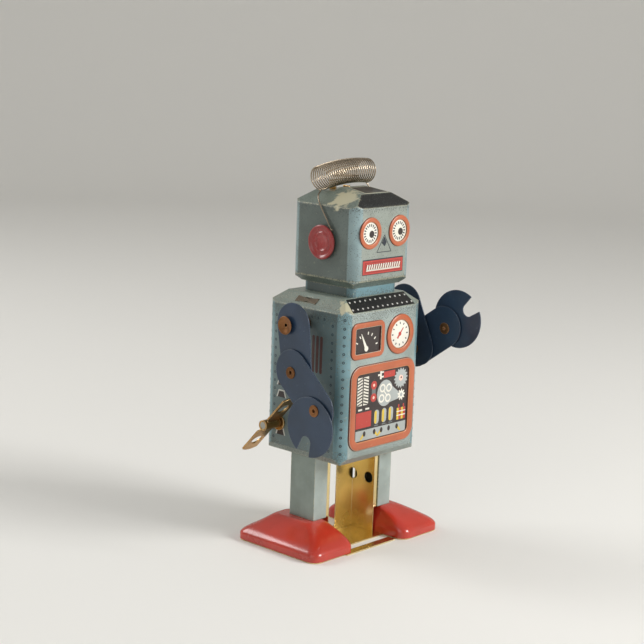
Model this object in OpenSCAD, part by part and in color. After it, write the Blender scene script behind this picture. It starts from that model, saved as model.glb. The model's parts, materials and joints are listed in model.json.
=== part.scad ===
// Tin wind-up robot with a side key, walking legs, jointed spanner-handed arms and a coil aerial.
// X runs to the robot's left, the face looks along -Y, and Z is up.
// The origin is on the floor midway between the feet, under the middle of the body.
// In module names and in s, side -1 is the robot's right and +1 is its left.

/* [Body case] */
// Width of the body case
body_w = 57.4; // [56:0.2:60]
// Depth of the body case
body_d = 51.9; // [50:0.2:54]
// Radius of the body's upright corners
body_r = 5.8; // [4:0.1:8]
// Height of the body's lowest edge above the floor
body_low = 46; // [45:0.5:47]
// Height of the flat top of the body
body_top = 126.2; // [124:0.2:130]
// Thickness of the pressed tin sheet
tin = 0.5; // [0.4:0.05:0.6]

/* [Head] */
// Width and depth of the square head
head_w = 41.9; // [38:0.1:44]
// Height of the flat top of the head
head_top = 175.5; // [172:0.5:180]
// How far the head's middle lies in front of the body's middle
head_forward = 2.5; // [0:0.1:4]
// Radius of the red ear discs
ear_r = 8.4; // [6:0.1:10]

/* [Aerial] */
// Outer diameter of the coil
coil_od = 12.3; // [10:0.1:14]
// Diameter of the coil's wire
wire_d = 0.7; // [0.6:0.1:1.2]
// Number of turns
coil_turns = 23; // [10:1:30]
// Height of the coil's highest point
coil_top = 190.6; // [188:0.2:196]

/* [Arms] */
// Distance from the middle plane to the inner face of the upper arm
arm_plane = 40.9; // [40.8:0.1:42]
// Thickness of an arm plate
arm_t = 0.6; // [0.5:0.05:0.7]
// Distance between the shoulder and the elbow
upper_len = 22.8; // [20:0.1:26]
// Distance between the elbow and the wrist
fore_len = 22.9; // [20:0.1:26]
// Radius of the spanner hand
hand_r = 14.7; // [12:0.1:16]
// Width of the spanner's jaw at its mouth
jaw_w = 8.6; // [5:0.1:10]

/* [Legs and feet] */
// Distance between the middle plane and the outer face of a leg
leg_out = 25.8; // [25:0.1:26]
// Depth of a leg from front to back
leg_d = 16.4; // [14:0.1:18]
// Length of a foot
foot_len = 54.6; // [50:0.2:58]
// Height of the flat top of a foot
foot_h = 13.6; // [12:0.1:16]
// Radius of the circle that each foot walks on
stride_r = 2.5; // [1:0.1:2.5]

/* [Key] */
// Span of the winding key over both wings
key_span = 43; // [36:0.5:44]
// Height of the key's wings, measured along its shaft
key_h = 10; // [8:0.5:10]

/* [Hidden] */
$fn = 64;
eps = 0.01;
running = 0.05;          // radial clearance of every shaft and pin in its hole

// body case levels, from its lowest edge to its flat top
body_z = [body_low, body_low + 2.9, body_top - 6, body_top];
body_low_in = 1.9;       // how far the bottom bevel draws in
shoulder_in = 7.2;       // how far the shoulder bevel draws in
// head levels
head_z = [head_top - 44.5, head_top - 40.8, head_top - 5.9, head_top];
head_r = 5.5;
crown_rise = 1.9;
head_low_in = 4;
head_y = -head_forward;
neck_w = 34;
neck_d = 33;

// chest relief: [middle x, middle z, width, height, corner radius]
panel = [0.2, 73.1, 47.2, 41.7, 6.5];
square_gauge = [-12.1, 106.5, 23, 17.2, 3.2];
round_gauge = [11.7, 106.7, 9.7];
eye = [10.5, head_top - 17.9, 7.4];
relief_t = 0.7;

// arms: shoulder position and the resting angle of each plate, forward of straight down
shoulder = [-0.3, 113.2];
lean = [[10.9, 47.8, -17], [28.7, 125.2, 130]];
layer = arm_t + 0.4;     // from one arm plate to the next outward
post_r = 2.2;
rivet_r = 1.5;
function ahead(a) = [-sin(a), -cos(a)];
function elbow(k) = shoulder + upper_len * ahead(lean[k][0]);
function wrist(k) = elbow(k) + fore_len * ahead(lean[k][1]);
function side_index(s) = s < 0 ? 0 : 1;

// winding key and gear train, as [y, z] of each arbor
gear_m = 0.5;
key_yz = [15.7, 60.3];
crank_yz = [-1.35, 58.5];
wheel_teeth = 36;
leaf_teeth = 12;
crank_wheel_teeth = 30;
star_leaf_teeth = 10;
mesh_gap = gear_m * (wheel_teeth + leaf_teeth) / 2;
mid_yz = (key_yz + crank_yz) / 2;
crank_to_key = key_yz - crank_yz;
second_rise = sqrt(pow(mesh_gap, 2) - pow(norm(crank_to_key) / 2, 2));
second_yz = mid_yz + second_rise * [-crank_to_key[1], crank_to_key[0]] / norm(crank_to_key);
star_angle = 120;
star_yz = crank_yz + gear_m * (crank_wheel_teeth + star_leaf_teeth) / 2 * [cos(star_angle), sin(star_angle)];
pallet_yz = star_yz + [-2.2, 7.4];
plate_in = 9.2;          // inner face of each motor plate
plate_t = 0.8;
arbor_r = 1;
key_arbor_r = 1.8;
pillar_yz = [[21.1, 51], [20.5, 78.6], [-13, 78.6], [-11.5, 50.5]];
pillar_r = 1;
guide_yz = crank_yz + [0, 15.5];

// legs: the right crank pin points back and the left one points forward at rest
web_x = 14;              // inner face of the bright web of a leg
pin_r = 1.4;
function leg_y(s) = crank_yz[0] - s * stride_r;
foot_in = 15.3;
foot_out = 44.4;
foot_r = 5;
sole_t = 0.6;

// ---- shared shapes ----

module rounded_rect(w, d, r) {
    square([w - 2 * r, d], center = true);
    square([w, d - 2 * r], center = true);
    for (x = [-1, 1], y = [-1, 1]) translate([x * (w / 2 - r), y * (d / 2 - r)]) circle(r);
}

// Lays a child drawn in its own XY plane against a plane of constant X: x becomes Y, y becomes Z.
module across(x, yz = [0, 0]) {
    translate([x, yz[0], yz[1]]) rotate([90, 0, 90]) children();
}

// Lays a child on a plane of constant Y facing forward, its thickness rising towards -Y.
module on_front(y) {
    translate([0, y, 0]) rotate([90, 0, 0]) children();
}

// A box with rounded uprights, a bevel below and four bevels above.
module bevelled_form(w, d, r, z, low, top_x, top_y) {
    intersection() {
        translate([0, 0, z[0]]) linear_extrude(z[3] - z[0]) rounded_rect(w, d, r);
        rotate([90, 0, 0]) translate([0, 0, -d]) linear_extrude(2 * d) bevelled_profile(w, z, low, top_x);
        rotate([90, 0, 90]) translate([0, 0, -w]) linear_extrude(2 * w) bevelled_profile(d, z, low, top_y);
    }
}

module bevelled_profile(w, z, low, top) {
    h = w / 2;
    polygon([[-h + low, z[0]], [h - low, z[0]], [h, z[1]], [h, z[2]],
        [h - top, z[3]], [-h + top, z[3]], [-h, z[2]], [-h, z[1]]]);
}

// A sheet-metal case: the bevelled form with a smaller one taken out, open below.
module bevelled_shell(w, d, r, z, low, top_x, top_y, t) {
    inner_z = [z[0], z[1] + t / 3, z[2] - t / 3, z[3] - t];
    difference() {
        bevelled_form(w, d, r, z, low, top_x, top_y);
        bevelled_form(w - 2 * t, d - 2 * t, r - t, inner_z, low, top_x, top_y);
        translate([0, 0, z[0] - 1]) linear_extrude(1 + eps)
            rounded_rect(w - 2 * (low + t), d - 2 * (low + t), r);
    }
}

function arc_points(c, r, from, to, steps) =
    [for (i = [0:steps]) let (a = from + (to - from) * i / steps) c + r * [cos(a), sin(a)]];

// A round-ended link: two arcs of different radius, joined by the lines that touch both.
module link_outline(r1, c2, r2) {
    touch = acos((r1 - r2) / norm(c2));
    turn = atan2(c2[1], c2[0]);
    polygon(concat(arc_points([0, 0], r1, turn + touch, turn + 360 - touch, 48),
        arc_points(c2, r2, turn - touch, turn + touch, 48)));
}

// Gear outline: each tooth is a straight-flanked wedge, kept thin for a free mesh.
function tooth(n, m) = [[m * n / 2 - 0.62 * m * 2, 0.3], [m * n / 2, 0.215], [m * n / 2 + 0.85 * m, 0.11]];
function gear_points(n, m) = [for (i = [0:n - 1]) let (t = tooth(n, m))
    for (p = [[0, -1], [1, -1], [2, -1], [2, 1], [1, 1], [0, 1]])
        t[p[0]][0] * [cos((i + p[1] * t[p[0]][1]) * 360 / n), sin((i + p[1] * t[p[0]][1]) * 360 / n)]];

module gear(x, yz, n, thick, phase, bore) {
    across(x, yz) rotate(phase) linear_extrude(thick) difference() {
        polygon(gear_points(n, gear_m));
        if (bore > 0) circle(bore);
    }
}

function bearing(a, b) = atan2(b[1] - a[1], b[0] - a[0]);

// A riveted pin with a rolled head at each end and a hollow shank, drawn along X from x0 to x1.
module eyelet(x0, x1, yz, shank, head, head_t, hollow) {
    across(x0, yz) difference() {
        union() {
            translate([0, 0, -head_t]) cylinder(r1 = head * 0.75, r2 = head, h = head_t);
            cylinder(r = shank, h = x1 - x0);
            translate([0, 0, x1 - x0]) cylinder(r1 = head, r2 = head * 0.75, h = head_t);
        }
        translate([0, 0, -head_t - 1]) cylinder(r = hollow, h = x1 - x0 + 2 * head_t + 2);
    }
}

// ---- body case ----

module frame_ring(p, rim, t) {
    translate([p[0], p[1]]) linear_extrude(t) difference() {
        rounded_rect(p[2], p[3], p[4]);
        rounded_rect(p[2] - 2 * rim, p[3] - 2 * rim, max(p[4] - rim, 0.6));
    }
}

module body_shell() {
    color("lightsteelblue") {
        difference() {
            bevelled_shell(body_w, body_d, body_r, body_z, body_low_in, shoulder_in, shoulder_in, tin);
            translate([-21.4, body_d / 2 - 2, 52]) cube([42.8, 4, 65]);
            for (s = [-1, 1]) across(s * body_w / 2 - 2, shoulder) cylinder(r = post_r, h = 4);
            across(-body_w / 2 - 2, key_yz) cylinder(r = 3, h = 4);
            for (s = [-1, 1]) translate([s * 24.7 - 1.2, 0.4, 121]) cube([2.4, 4.4, 4.4]);
            for (x = [-10, 10]) translate([x - 2, head_y + 9, body_top - 1]) cube([4, 0.8, 2]);
            for (x = [-10, 10]) translate([x - 2, head_y - 10, body_top - 1]) cube([4, 0.8, 2]);
        }
        on_front(-body_d / 2 + eps) {
            frame_ring(panel, 2.9, relief_t);
            frame_ring(square_gauge, 2.4, relief_t);
            translate([round_gauge[0], round_gauge[1]]) linear_extrude(relief_t) difference() {
                circle(round_gauge[2]);
                circle(round_gauge[2] - 2);
            }
        }
    }
}

module back_panel() {
    color("lightsteelblue") difference() {
        union() {
            translate([-22.4, body_d / 2 - tin - 0.5, 50.8]) cube([44.8, 0.5, 67.4]);
            translate([-21.2, body_d / 2 - tin - 0.1, 52.2]) cube([42.4, 0.5, 64.6]);
        }
        translate([-19.4, body_d / 2 - tin - 1, 54]) cube([38.8, 0.9, 61]);
        for (x = [-14:7:14]) translate([x - 1, body_d / 2 - 3, 84]) cube([2, 4, 18]);
    }
}

module base_plate() {
    half_x = body_w / 2 - body_low_in - tin - 0.1;
    half_y = body_d / 2 - body_low_in - tin - 0.1;
    color("goldenrod") difference() {
        translate([0, 0, body_low + 0.1]) linear_extrude(0.6) rounded_rect(2 * half_x, 2 * half_y, 4);
        for (s = [-1, 1]) translate([s * 20.2 - 7, crank_yz[0] - leg_d / 2 - stride_r - 0.8, body_low - 1])
            cube([14, leg_d + 2 * stride_r + 1.6, 3]);
    }
}

module shoulder_tabs() {
    slope = atan2(body_z[3] - body_z[2], shoulder_in);
    color("saddlebrown") for (s = [-1, 1])
        translate([s * (body_w / 2 - shoulder_in / 2), 2.6, (body_z[2] + body_z[3]) / 2])
            rotate([0, s * slope, 0]) {
                translate([0, 0, 0.02]) linear_extrude(0.35)
                    polygon([[-1.9, -6.8], [1.9, -6.8], [0.9, 0], [1.9, 6.8], [-1.9, 6.8], [-0.9, 0]]);
                translate([-0.5, -2, -1.4]) cube([1, 4, 1.5]);
            }
}

module key_bush() {
    color("goldenrod") across(-body_w / 2, key_yz) difference() {
        union() {
            translate([0, 0, -0.9]) cylinder(r = 4, h = 0.9);
            cylinder(r = 3, h = 1.4);
        }
        translate([0, 0, -2]) cylinder(r = key_arbor_r + running, h = 5);
    }
}

module neck_collar() {
    color("steelblue") {
        difference() {
            translate([0, head_y, body_top]) linear_extrude(head_z[0] - body_top)
                rounded_rect(neck_w, neck_d, 4);
            translate([0, head_y, body_top - 1]) linear_extrude(head_z[0] - body_top + 2)
                rounded_rect(neck_w - 2 * tin, neck_d - 2 * tin, 3.5);
        }
        for (x = [-10, 10], y = [-1, 1])
            translate([x - 1.9, head_y + (y > 0 ? 9.1 : -9.9), body_top - 1.6])
                cube([3.8, 0.6, 1.6 + head_z[0] - body_top]);
        for (x = [-10, 10], y = [-1, 1])
            translate([x - 1.9, head_y + (y > 0 ? 9.1 : -neck_d / 2 + 0.2), body_top + 2])
                cube([3.8, neck_d / 2 - 9.3, 0.6]);
    }
}

// ---- head ----

// The crown's pressed rise, which slopes up from the brow and drops away in front of the coil.
module crown_form(shrink) {
    hull() {
        translate([shrink - 10.9, shrink - 14.6, head_top - 0.3 - shrink])
            cube([21.8 - 2 * shrink, 17.4 - 2 * shrink, 0.3]);
        translate([shrink - 8.6, -1.8, head_top + crown_rise - 0.1 - shrink])
            cube([17.2 - 2 * shrink, 3.4 - shrink, 0.1]);
    }
}

module head_shell() {
    color("lightsteelblue") {
        translate([0, head_y, 0]) difference() {
            union() {
                bevelled_shell(head_w, head_w, head_r, [head_z[1], head_z[1], head_z[2], head_z[3]],
                    0, 10, 6.3, tin);
                crown_form(0);
            }
            crown_form(tin);
            translate([0, 0, head_z[1] - 1]) linear_extrude(3)
                rounded_rect(head_w - 2 * tin, head_w - 2 * tin, head_r - tin);
            for (x = [-5, 5]) translate([x - 2, 9.3 - 0.3, head_top - 1]) cube([4, 0.6, 2]);
            for (s = [-1, 1]) across(s * head_w / 2 - 1, [-0.7, head_top - 23.5]) cylinder(r = 1.6, h = 2);
        }
        on_front(head_y - head_w / 2 + eps) for (s = [-1, 1])
            translate([s * eye[0], eye[1]]) linear_extrude(0.6) difference() {
                circle(eye[2]);
                circle(eye[2] - 1.7);
            }
    }
}

module head_pan() {
    z = [head_z[0], head_z[1], head_z[1] + 0.02, head_z[1] + 0.04];
    color("lightsteelblue") translate([0, head_y, 0]) difference() {
        intersection() {
            translate([0, 0, head_z[0]]) linear_extrude(head_z[1] - head_z[0])
                rounded_rect(head_w, head_w, head_r);
            rotate([90, 0, 0]) translate([0, 0, -head_w]) linear_extrude(2 * head_w)
                bevelled_profile(head_w, z, head_low_in, 0);
            rotate([90, 0, 90]) translate([0, 0, -head_w]) linear_extrude(2 * head_w)
                bevelled_profile(head_w, z, head_low_in, 0);
        }
        translate([0, 0, head_z[0] + tin]) linear_extrude(6) rounded_rect(neck_w - 1.4, neck_d - 1.4, 3);
    }
}

module head_tabs() {
    color("goldenrod") for (x = [-5, 5]) {
        translate([x - 0.3, head_y + 7.2, head_top]) cube([0.6, 4.2, 1.5]);
        translate([x - 0.3, head_y + 9, head_top - 3]) cube([0.6, 0.6, 3]);
    }
}

module ear(s) {
    color("firebrick") translate([0, head_y - 0.7, head_top - 23.5]) rotate([0, s * 90, 0])
        translate([0, 0, head_w / 2]) rotate_extrude()
            polygon([[0, 0.2], [3.2, 0.2], [3.2, 0], [4, 0], [4.6, 0.9], [ear_r - 1.2, 1.6], [ear_r, 1.2],
                [ear_r, 1.6], [ear_r - 1, 2.5], [ear_r - 2, 2.3], [5.4, 1.5],
                [3.6, 1.7], [1.6, 2.4], [0, 2.6]]);
}

// ---- coil aerial: one wire from ear to ear, wound into an arched coil over the head ----

coil_r = (coil_od - wire_d) / 2;
coil_half = 17.2;
coil_y = 4.6;
coil_mid_z = coil_top - coil_od / 2;
coil_peak = 0.72;        // how far along the coil its highest turn stands, from the right end
coil_bend = 5.8;
function coil_axis(u) = [coil_half * (2 * u - 1), coil_y, coil_mid_z - coil_bend * pow(u - coil_peak, 2)];
function coil_slope(u) = atan(-coil_bend * (u - coil_peak) / coil_half);
function coil_point(u) = let (a = 270 + 360 * coil_turns * u, tilt = coil_slope(u))
    coil_axis(u) + coil_r * [-sin(tilt) * sin(a), cos(a), cos(tilt) * sin(a)];
coil_steps = coil_turns * 12;
coil_lead = [[-21.6, -9.6, 158.6], [-22.3, -8.8, 158.9], [-21.75, -5, 163.6],
    [-21.7, -0.6, 169.8], [-19.6, 2.6, 173.6]];
coil_path = concat(coil_lead,
    [for (i = [0:coil_steps]) coil_point(i / coil_steps)],
    [for (i = [len(coil_lead) - 1:-1:0]) [-coil_lead[i][0], coil_lead[i][1], coil_lead[i][2]]]);

// A tube of few sides swept along a path; each ring stands square to the path.
module swept_tube(path, r, sides) {
    n = len(path);
    function heading(i) = let (a = path[max(i - 1, 0)], b = path[min(i + 1, n - 1)]) (b - a) / norm(b - a);
    function ring(i) =
        let (t = heading(i), ref = [0, 0.35, 1], p = cross(t, ref), u = p / norm(p), v = cross(t, u))
        [for (k = [0:sides - 1]) path[i] + r * (cos(360 * k / sides) * u + sin(360 * k / sides) * v)];
    points = [for (i = [0:n - 1]) each ring(i)];
    walls = [for (i = [0:n - 2], k = [0:sides - 1])
        [i * sides + k, i * sides + (k + 1) % sides, (i + 1) * sides + (k + 1) % sides, (i + 1) * sides + k]];
    caps = [[for (k = [sides - 1:-1:0]) k], [for (k = [0:sides - 1]) (n - 1) * sides + k]];
    polyhedron(points, concat(walls, caps), convexity = 10);
}

module coil_aerial() {
    color("tan") swept_tube(coil_path, wire_d / 2, 5);
}

// ---- spring motor ----

click_yz = key_yz + 6.6 * [cos(215), sin(215)];
stud_r = 0.7;

module motor_plate(s) {
    x = s < 0 ? -plate_in - plate_t : plate_in;
    color("gold") across(x) linear_extrude(plate_t) difference() {
        polygon([[-14.5, body_low + 0.7], [23.4, body_low + 0.7], [23.4, 80.4], [-14.5, 80.4]]);
        translate(key_yz) circle(key_arbor_r + running);
        for (c = [second_yz, crank_yz, star_yz, pallet_yz]) translate(c) circle(arbor_r + running);
        for (c = pillar_yz) translate(c) circle(pillar_r * 0.7);
        translate(guide_yz) circle(0.8);
    }
}

module motor_pillars() {
    color("silver") for (c = pillar_yz) {
        across(-plate_in, c) cylinder(r = pillar_r, h = 2 * plate_in);
        across(-plate_in - plate_t - 0.4, c) cylinder(r = pillar_r * 0.7, h = 2 * (plate_in + plate_t) + 0.8);
    }
}

spring_turns = 6;
spring_start = key_arbor_r + 0.5;
spring_end = 9.1;
spring_leave = bearing(key_yz, pillar_yz[0]);
function spring_at(u, edge) = let (a = spring_leave - 360 * spring_turns * (1 - u))
    (spring_start + (spring_end - spring_start) * u + edge) * [cos(a), sin(a)];

module mainspring() {
    steps = spring_turns * 18;
    color("slategray") across(-8.8, key_yz) linear_extrude(5)
        polygon(concat([for (i = [0:steps]) spring_at(i / steps, 0.2)],
            [for (i = [steps:-1:0]) spring_at(i / steps, -0.2)]));
}

module leg_guide_studs() {
    color("silver") for (s = [-1, 1]) across(s > 0 ? plate_in + plate_t : -15.6, guide_yz) {
        cylinder(r = 1, h = 15.6 - plate_in - plate_t);
        translate([0, 0, s > 0 ? -0.5 : 15.6 - plate_in - plate_t]) cylinder(r = 0.8, h = 0.5);
    }
}

module winding_arbor() {
    color("silver") across(-40, key_yz) cylinder(r = key_arbor_r, h = 40 + plate_in + plate_t + 0.6);
}

module ratchet_wheel() {
    color("silver") across(-3.4, key_yz) linear_extrude(0.8) difference() {
        polygon([for (i = [0:13]) for (k = [0, 1])
            (k == 0 ? 4.8 : 3.7) * [cos(i * 360 / 14 + k * 2), sin(i * 360 / 14 + k * 2)]]);
        circle(key_arbor_r);
    }
}

key_hole = 13.1;         // from the shaft to the middle of each wing's hole

module key_outline() {
    for (s = [-1, 1]) {
        polygon([[0, -1.6], [s * 6.4, -key_h / 2], [s * (key_span / 2 - 4), -key_h / 2],
            [s * (key_span / 2 - 4), key_h / 2], [s * 6.4, key_h / 2], [0, 1.6]]);
        intersection() {
            translate([s * (key_span / 2 - 9), 0]) circle(9);
            square([key_span + 2, key_h], center = true);
        }
    }
}

// The key's wings lie in the plane of its shaft; the shaft's tube is split over the arbor.
module winding_key() {
    wing_turn = -47;
    middle = [-arm_plane + 0.5 + key_h / 2, key_yz[0], key_yz[1]];
    color("goldenrod") translate(middle) rotate([wing_turn, 0, 0]) {
        rotate([0, 0, 90]) translate([0, 0, -0.4]) linear_extrude(0.8) difference() {
            key_outline();
            for (s = [-1, 1]) translate([s * key_hole, 0]) circle(3.1);
            square([2 * key_arbor_r, 40], center = true);
        }
        difference() {
            rotate([0, 90, 0]) translate([0, 0, -key_h / 2 + 0.2])
                cylinder(r = key_arbor_r + 0.8, h = key_h - 0.1);
            rotate([0, 90, 0]) translate([0, 0, -20]) cylinder(r = key_arbor_r, h = 40);
        }
    }
}

module great_wheel() {
    color("gold") difference() {
        gear(-2.2, key_yz, wheel_teeth, 0.8, bearing(key_yz, second_yz), key_arbor_r + running);
        across(-3, click_yz) cylinder(r = stud_r, h = 2);
    }
}

// The click's nose drops behind a ratchet tooth. Its outline is given as [radius, angle]
// about the key arbor, so that it follows the ratchet's own teeth.
module click() {
    color("silver") across(-3.4, key_yz) linear_extrude(0.8) difference() {
        polygon([for (p = [[4.1, 186], [5.3, 183.5], [6.6, 190], [7.6, 198], [8, 207], [8.1, 216],
            [7.4, 224], [6.2, 226], [5.4, 222], [5.1, 208], [5.05, 203], [4.5, 193]])
            p[0] * [cos(p[1]), sin(p[1])]]);
        translate(click_yz - key_yz) circle(stud_r + running);
    }
}

module click_stud() {
    color("goldenrod") across(-2.2, click_yz) {
        translate([0, 0, -1.3]) cylinder(r = stud_r, h = 2.1);
        translate([0, 0, -1.5]) cylinder(r = 1.1, h = 0.25);
    }
}

module arbor_with_leaves(yz, x0, x1, leaf_x, leaf_t, n, phase) {
    color("silver") {
        across(x0, yz) cylinder(r = arbor_r, h = x1 - x0);
        gear(leaf_x, yz, n, leaf_t, phase, 0);
    }
}

module second_arbor() {
    arbor_with_leaves(second_yz, -plate_in - 1.2, plate_in + 1.2, -2.6, 1.6, leaf_teeth,
        bearing(second_yz, key_yz) + 180 / leaf_teeth);
}

module second_wheel() {
    color("gold") gear(-0.6, second_yz, wheel_teeth, 0.8, bearing(second_yz, crank_yz), arbor_r);
}

module crank_arbor() {
    arbor_with_leaves(crank_yz, -11.4, 11.4, -1, 1.6, leaf_teeth,
        bearing(crank_yz, second_yz) + 180 / leaf_teeth);
}

module crank_wheel() {
    color("gold") gear(1.2, crank_yz, crank_wheel_teeth, 0.8, bearing(crank_yz, star_yz), arbor_r);
}

// A crank disc with the pin that carries a leg.
module crank(s) {
    color("silver") {
        across(s > 0 ? 10.4 : -11.4, crank_yz) difference() {
            cylinder(r = 4.4, h = 1);
            translate([0, 0, -1]) cylinder(r = arbor_r, h = 3);
        }
        across(s > 0 ? 11.4 : -16.6, [leg_y(s), crank_yz[1]]) cylinder(r = pin_r, h = 5.2);
    }
}

module crank_clip(s) {
    color("silver") across(s > 0 ? 15.4 : -15.8, [leg_y(s), crank_yz[1]]) difference() {
        cylinder(r = 2.6, h = 0.4);
        translate([0, 0, -1]) cylinder(r = pin_r, h = 3);
    }
}

module star_arbor() {
    arbor_with_leaves(star_yz, -plate_in - 1.2, plate_in + 1.2, 0.8, 1.6, star_leaf_teeth,
        bearing(star_yz, crank_yz) + 180 / star_leaf_teeth);
}

module star_wheel() {
    color("gold") across(4.4, star_yz) linear_extrude(0.8) difference() {
        polygon([for (i = [0:9]) for (k = [0, 1])
            (k == 0 ? 4.6 : 3.2) * [cos(i * 36 + k * 18), sin(i * 36 + k * 18)]]);
        circle(arbor_r);
    }
}

module pallet_arbor() {
    color("silver") across(-plate_in - 1.2, pallet_yz) cylinder(r = arbor_r, h = 2 * plate_in + 2.4);
}

// The rocking pallet: a weighted bar with two fingers that reach down beside the star wheel.
module pallet() {
    color("gold") across(4.4, pallet_yz) linear_extrude(0.8) difference() {
        union() {
            circle(2.2);
            polygon([[-4.4, -1], [7.4, -1], [7.4, -4.6], [8.4, -4.6], [8.4, 1],
                [-5.4, 1], [-5.4, -4.6], [-4.4, -4.6]]);
        }
        circle(arbor_r);
    }
}

// ---- legs and feet ----

module leg_case(s) {
    near = web_x + 2.6;
    top = body_low + 4;
    color("lightsteelblue") translate([s * (near + leg_out) / 2, leg_y(s), 0]) difference() {
        translate([0, 0, foot_h]) linear_extrude(top - foot_h) square([leg_out - near, leg_d], center = true);
        translate([-s * tin, 0, foot_h - 1]) linear_extrude(top - foot_h + 2)
            square([leg_out - near, leg_d - 2 * tin], center = true);
    }
}

// The bright web of a leg carries the crank pin's hole, the guide hole and a stiffening flange.
module leg_web(s) {
    flange_top = body_low - 3.4;
    // the right flange stays above the left sole's tongue through the whole stride
    flange_low = s > 0 ? sole_t : 2 * stride_r + 1.4;
    web_d = leg_d - 2 * tin - 0.1;
    color("khaki") translate([0, leg_y(s), 0]) {
        difference() {
            union() {
                across(s > 0 ? web_x : -web_x - tin) translate([-web_d / 2, sole_t])
                    square_plate(web_d, guide_yz[1] + 4.4);
                for (y = [-web_d / 2, web_d / 2 - tin])
                    translate([s > 0 ? web_x : -web_x - 6, y, foot_h + 0.1])
                        cube([6, tin, body_low + 2 - foot_h]);
            }
            across(s > 0 ? web_x - 1 : -web_x - 2, [0, crank_yz[1]]) cylinder(r = pin_r + running, h = 3);
            across(s > 0 ? web_x - 1 : -web_x - 2, [0, guide_yz[1]]) cylinder(r = stride_r + 1.4, h = 3);
            for (y = [-3.6, 7]) across(s > 0 ? web_x - 1 : -web_x - 2, [y, 28.6]) cylinder(r = 2.8, h = 3);
        }
        translate([s > 0 ? web_x - 12.4 : -web_x, web_d / 2 - tin, flange_low])
            cube([12.4, tin, flange_top - flange_low]);
    }
}

module square_plate(w, h) {
    linear_extrude(tin) square([w, h - sole_t]);
}

// Foot form: an upright rim, an instep that swells over the toe, and the flat top under the leg.
module foot_form(s, shrink) {
    w = foot_out - foot_in;
    rim = 4.4;
    top_in = foot_in + 3.2;
    top_out = foot_in + 15;
    hull() {
        translate([s * (foot_in + foot_out) / 2, 0, 0.6 - eps]) linear_extrude(rim - shrink)
            rounded_rect(w - 2 * shrink, foot_len - 2 * shrink, foot_r - shrink, $fn = 32);
        translate([s * (foot_in + 11.8), -0.2, 9.4 - shrink]) linear_extrude(0.6)
            rounded_rect(20 - 2 * shrink, 40.4 - 2 * shrink, 4.4 - shrink, $fn = 32);
        translate([s * (top_in + top_out) / 2, 2.9, foot_h - 0.6 - shrink]) linear_extrude(0.6)
            rounded_rect(top_out - top_in - 2 * shrink, 25.4 - 2 * shrink, 3.6 - shrink, $fn = 32);
    }
}

module foot(s) {
    color("red") translate([0, leg_y(s), 0]) difference() {
        foot_form(s, 0);
        translate([0, 0, -eps]) foot_form(s, tin);
    }
}

// The sole closes the foot and reaches across under the other side to steady the walk.
module sole(s) {
    w = foot_out - foot_in;
    color("wheat") translate([0, leg_y(s), 0]) {
        translate([s * (foot_in + foot_out) / 2, 0, 0]) linear_extrude(sole_t)
            rounded_rect(w - 0.6, foot_len - 0.6, foot_r - 0.3);
        if (s < 0) translate([-web_x - 8, -leg_d / 2 + tin, 0]) cube([8.1, leg_d - 2 * tin, sole_t]);
        if (s < 0) translate([-web_x - 8, -leg_y(s) - 27, 0]) cube([web_x + 8 + foot_in - 1.2, 4.6, sole_t]);
        if (s > 0) translate([-web_x + 0.6, -leg_y(s) - 17.5, 0]) cube([web_x + foot_in + 6, 26, sole_t]);
    }
}

// ---- arms ----

// Places an arm plate drawn in local axes: x along the limb, y towards its front edge.
module limb(s, joint, angle, level) {
    x = arm_plane + level * layer;
    translate([s > 0 ? x : -x - arm_t, joint[0], joint[1]]) rotate([90, 0, 90])
        multmatrix([[-sin(angle), -cos(angle), 0, 0], [-cos(angle), sin(angle), 0, 0],
            [0, 0, 1, 0], [0, 0, 0, 1]])
            linear_extrude(arm_t) children();
}

module upper_arm(s) {
    k = side_index(s);
    color("midnightblue") limb(s, shoulder, lean[k][0], 0) difference() {
        translate([0, 4]) link_outline(10.6, [upper_len, -1.1], 9.8);
        circle(post_r + running);
        translate([upper_len, 0]) circle(rivet_r);
    }
}

module forearm(s) {
    k = side_index(s);
    color("midnightblue") limb(s, elbow(k), lean[k][1], 1) difference() {
        translate([0, 1]) link_outline(10.6, [fore_len, 0], 10.5);
        circle(rivet_r + running);
        translate([fore_len, 0]) circle(rivet_r);
    }
}

module hand(s) {
    k = side_index(s);
    reach = 8.9;
    root = reach + 8.4;
    color("midnightblue") limb(s, wrist(k), lean[k][2], 2) difference() {
        translate([reach, 0]) circle(hand_r);
        circle(rivet_r + running);
        translate([root, 0]) circle(3.2);
        polygon([[root, -3.2], [reach + hand_r + 1, -jaw_w / 2 - 0.2],
            [reach + hand_r + 1, jaw_w / 2 + 0.2], [root, 3.2]]);
    }
}

// The shoulder post stands out from the body wall; its flared cup keeps the arm on.
module shoulder_post(s) {
    color("goldenrod") translate([0, shoulder[0], shoulder[1]]) rotate([0, s * 90, 0])
        rotate_extrude() polygon([[0.9, body_w / 2 - tin - 1], [4, body_w / 2 - tin - 1],
            [4, body_w / 2 - tin],
            [post_r, body_w / 2 - tin], [post_r, body_w / 2], [3.4, body_w / 2], [3.4, arm_plane - 0.1],
            [post_r, arm_plane - 0.1], [post_r, arm_plane + arm_t + 0.1], [2.6, arm_plane + arm_t + 0.1],
            [4.6, arm_plane + arm_t + 1.6], [4.2, arm_plane + arm_t + 2], [1.6, arm_plane + arm_t + 0.9],
            [0.9, arm_plane + arm_t + 0.9]]);
}

// Eyelet that joins two neighbouring arm plates; level counts plates outward from the upper arm.
module arm_rivet(s, yz, level) {
    inner = arm_plane + level * layer;
    outer = inner + layer + arm_t;
    gap = 0.06;
    x0 = s > 0 ? inner : -outer - gap;
    x1 = s > 0 ? outer + gap : -inner;
    eyelet(x0, x1, yz, rivet_r, 2.9, 0.45, 0.8);
}

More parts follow.
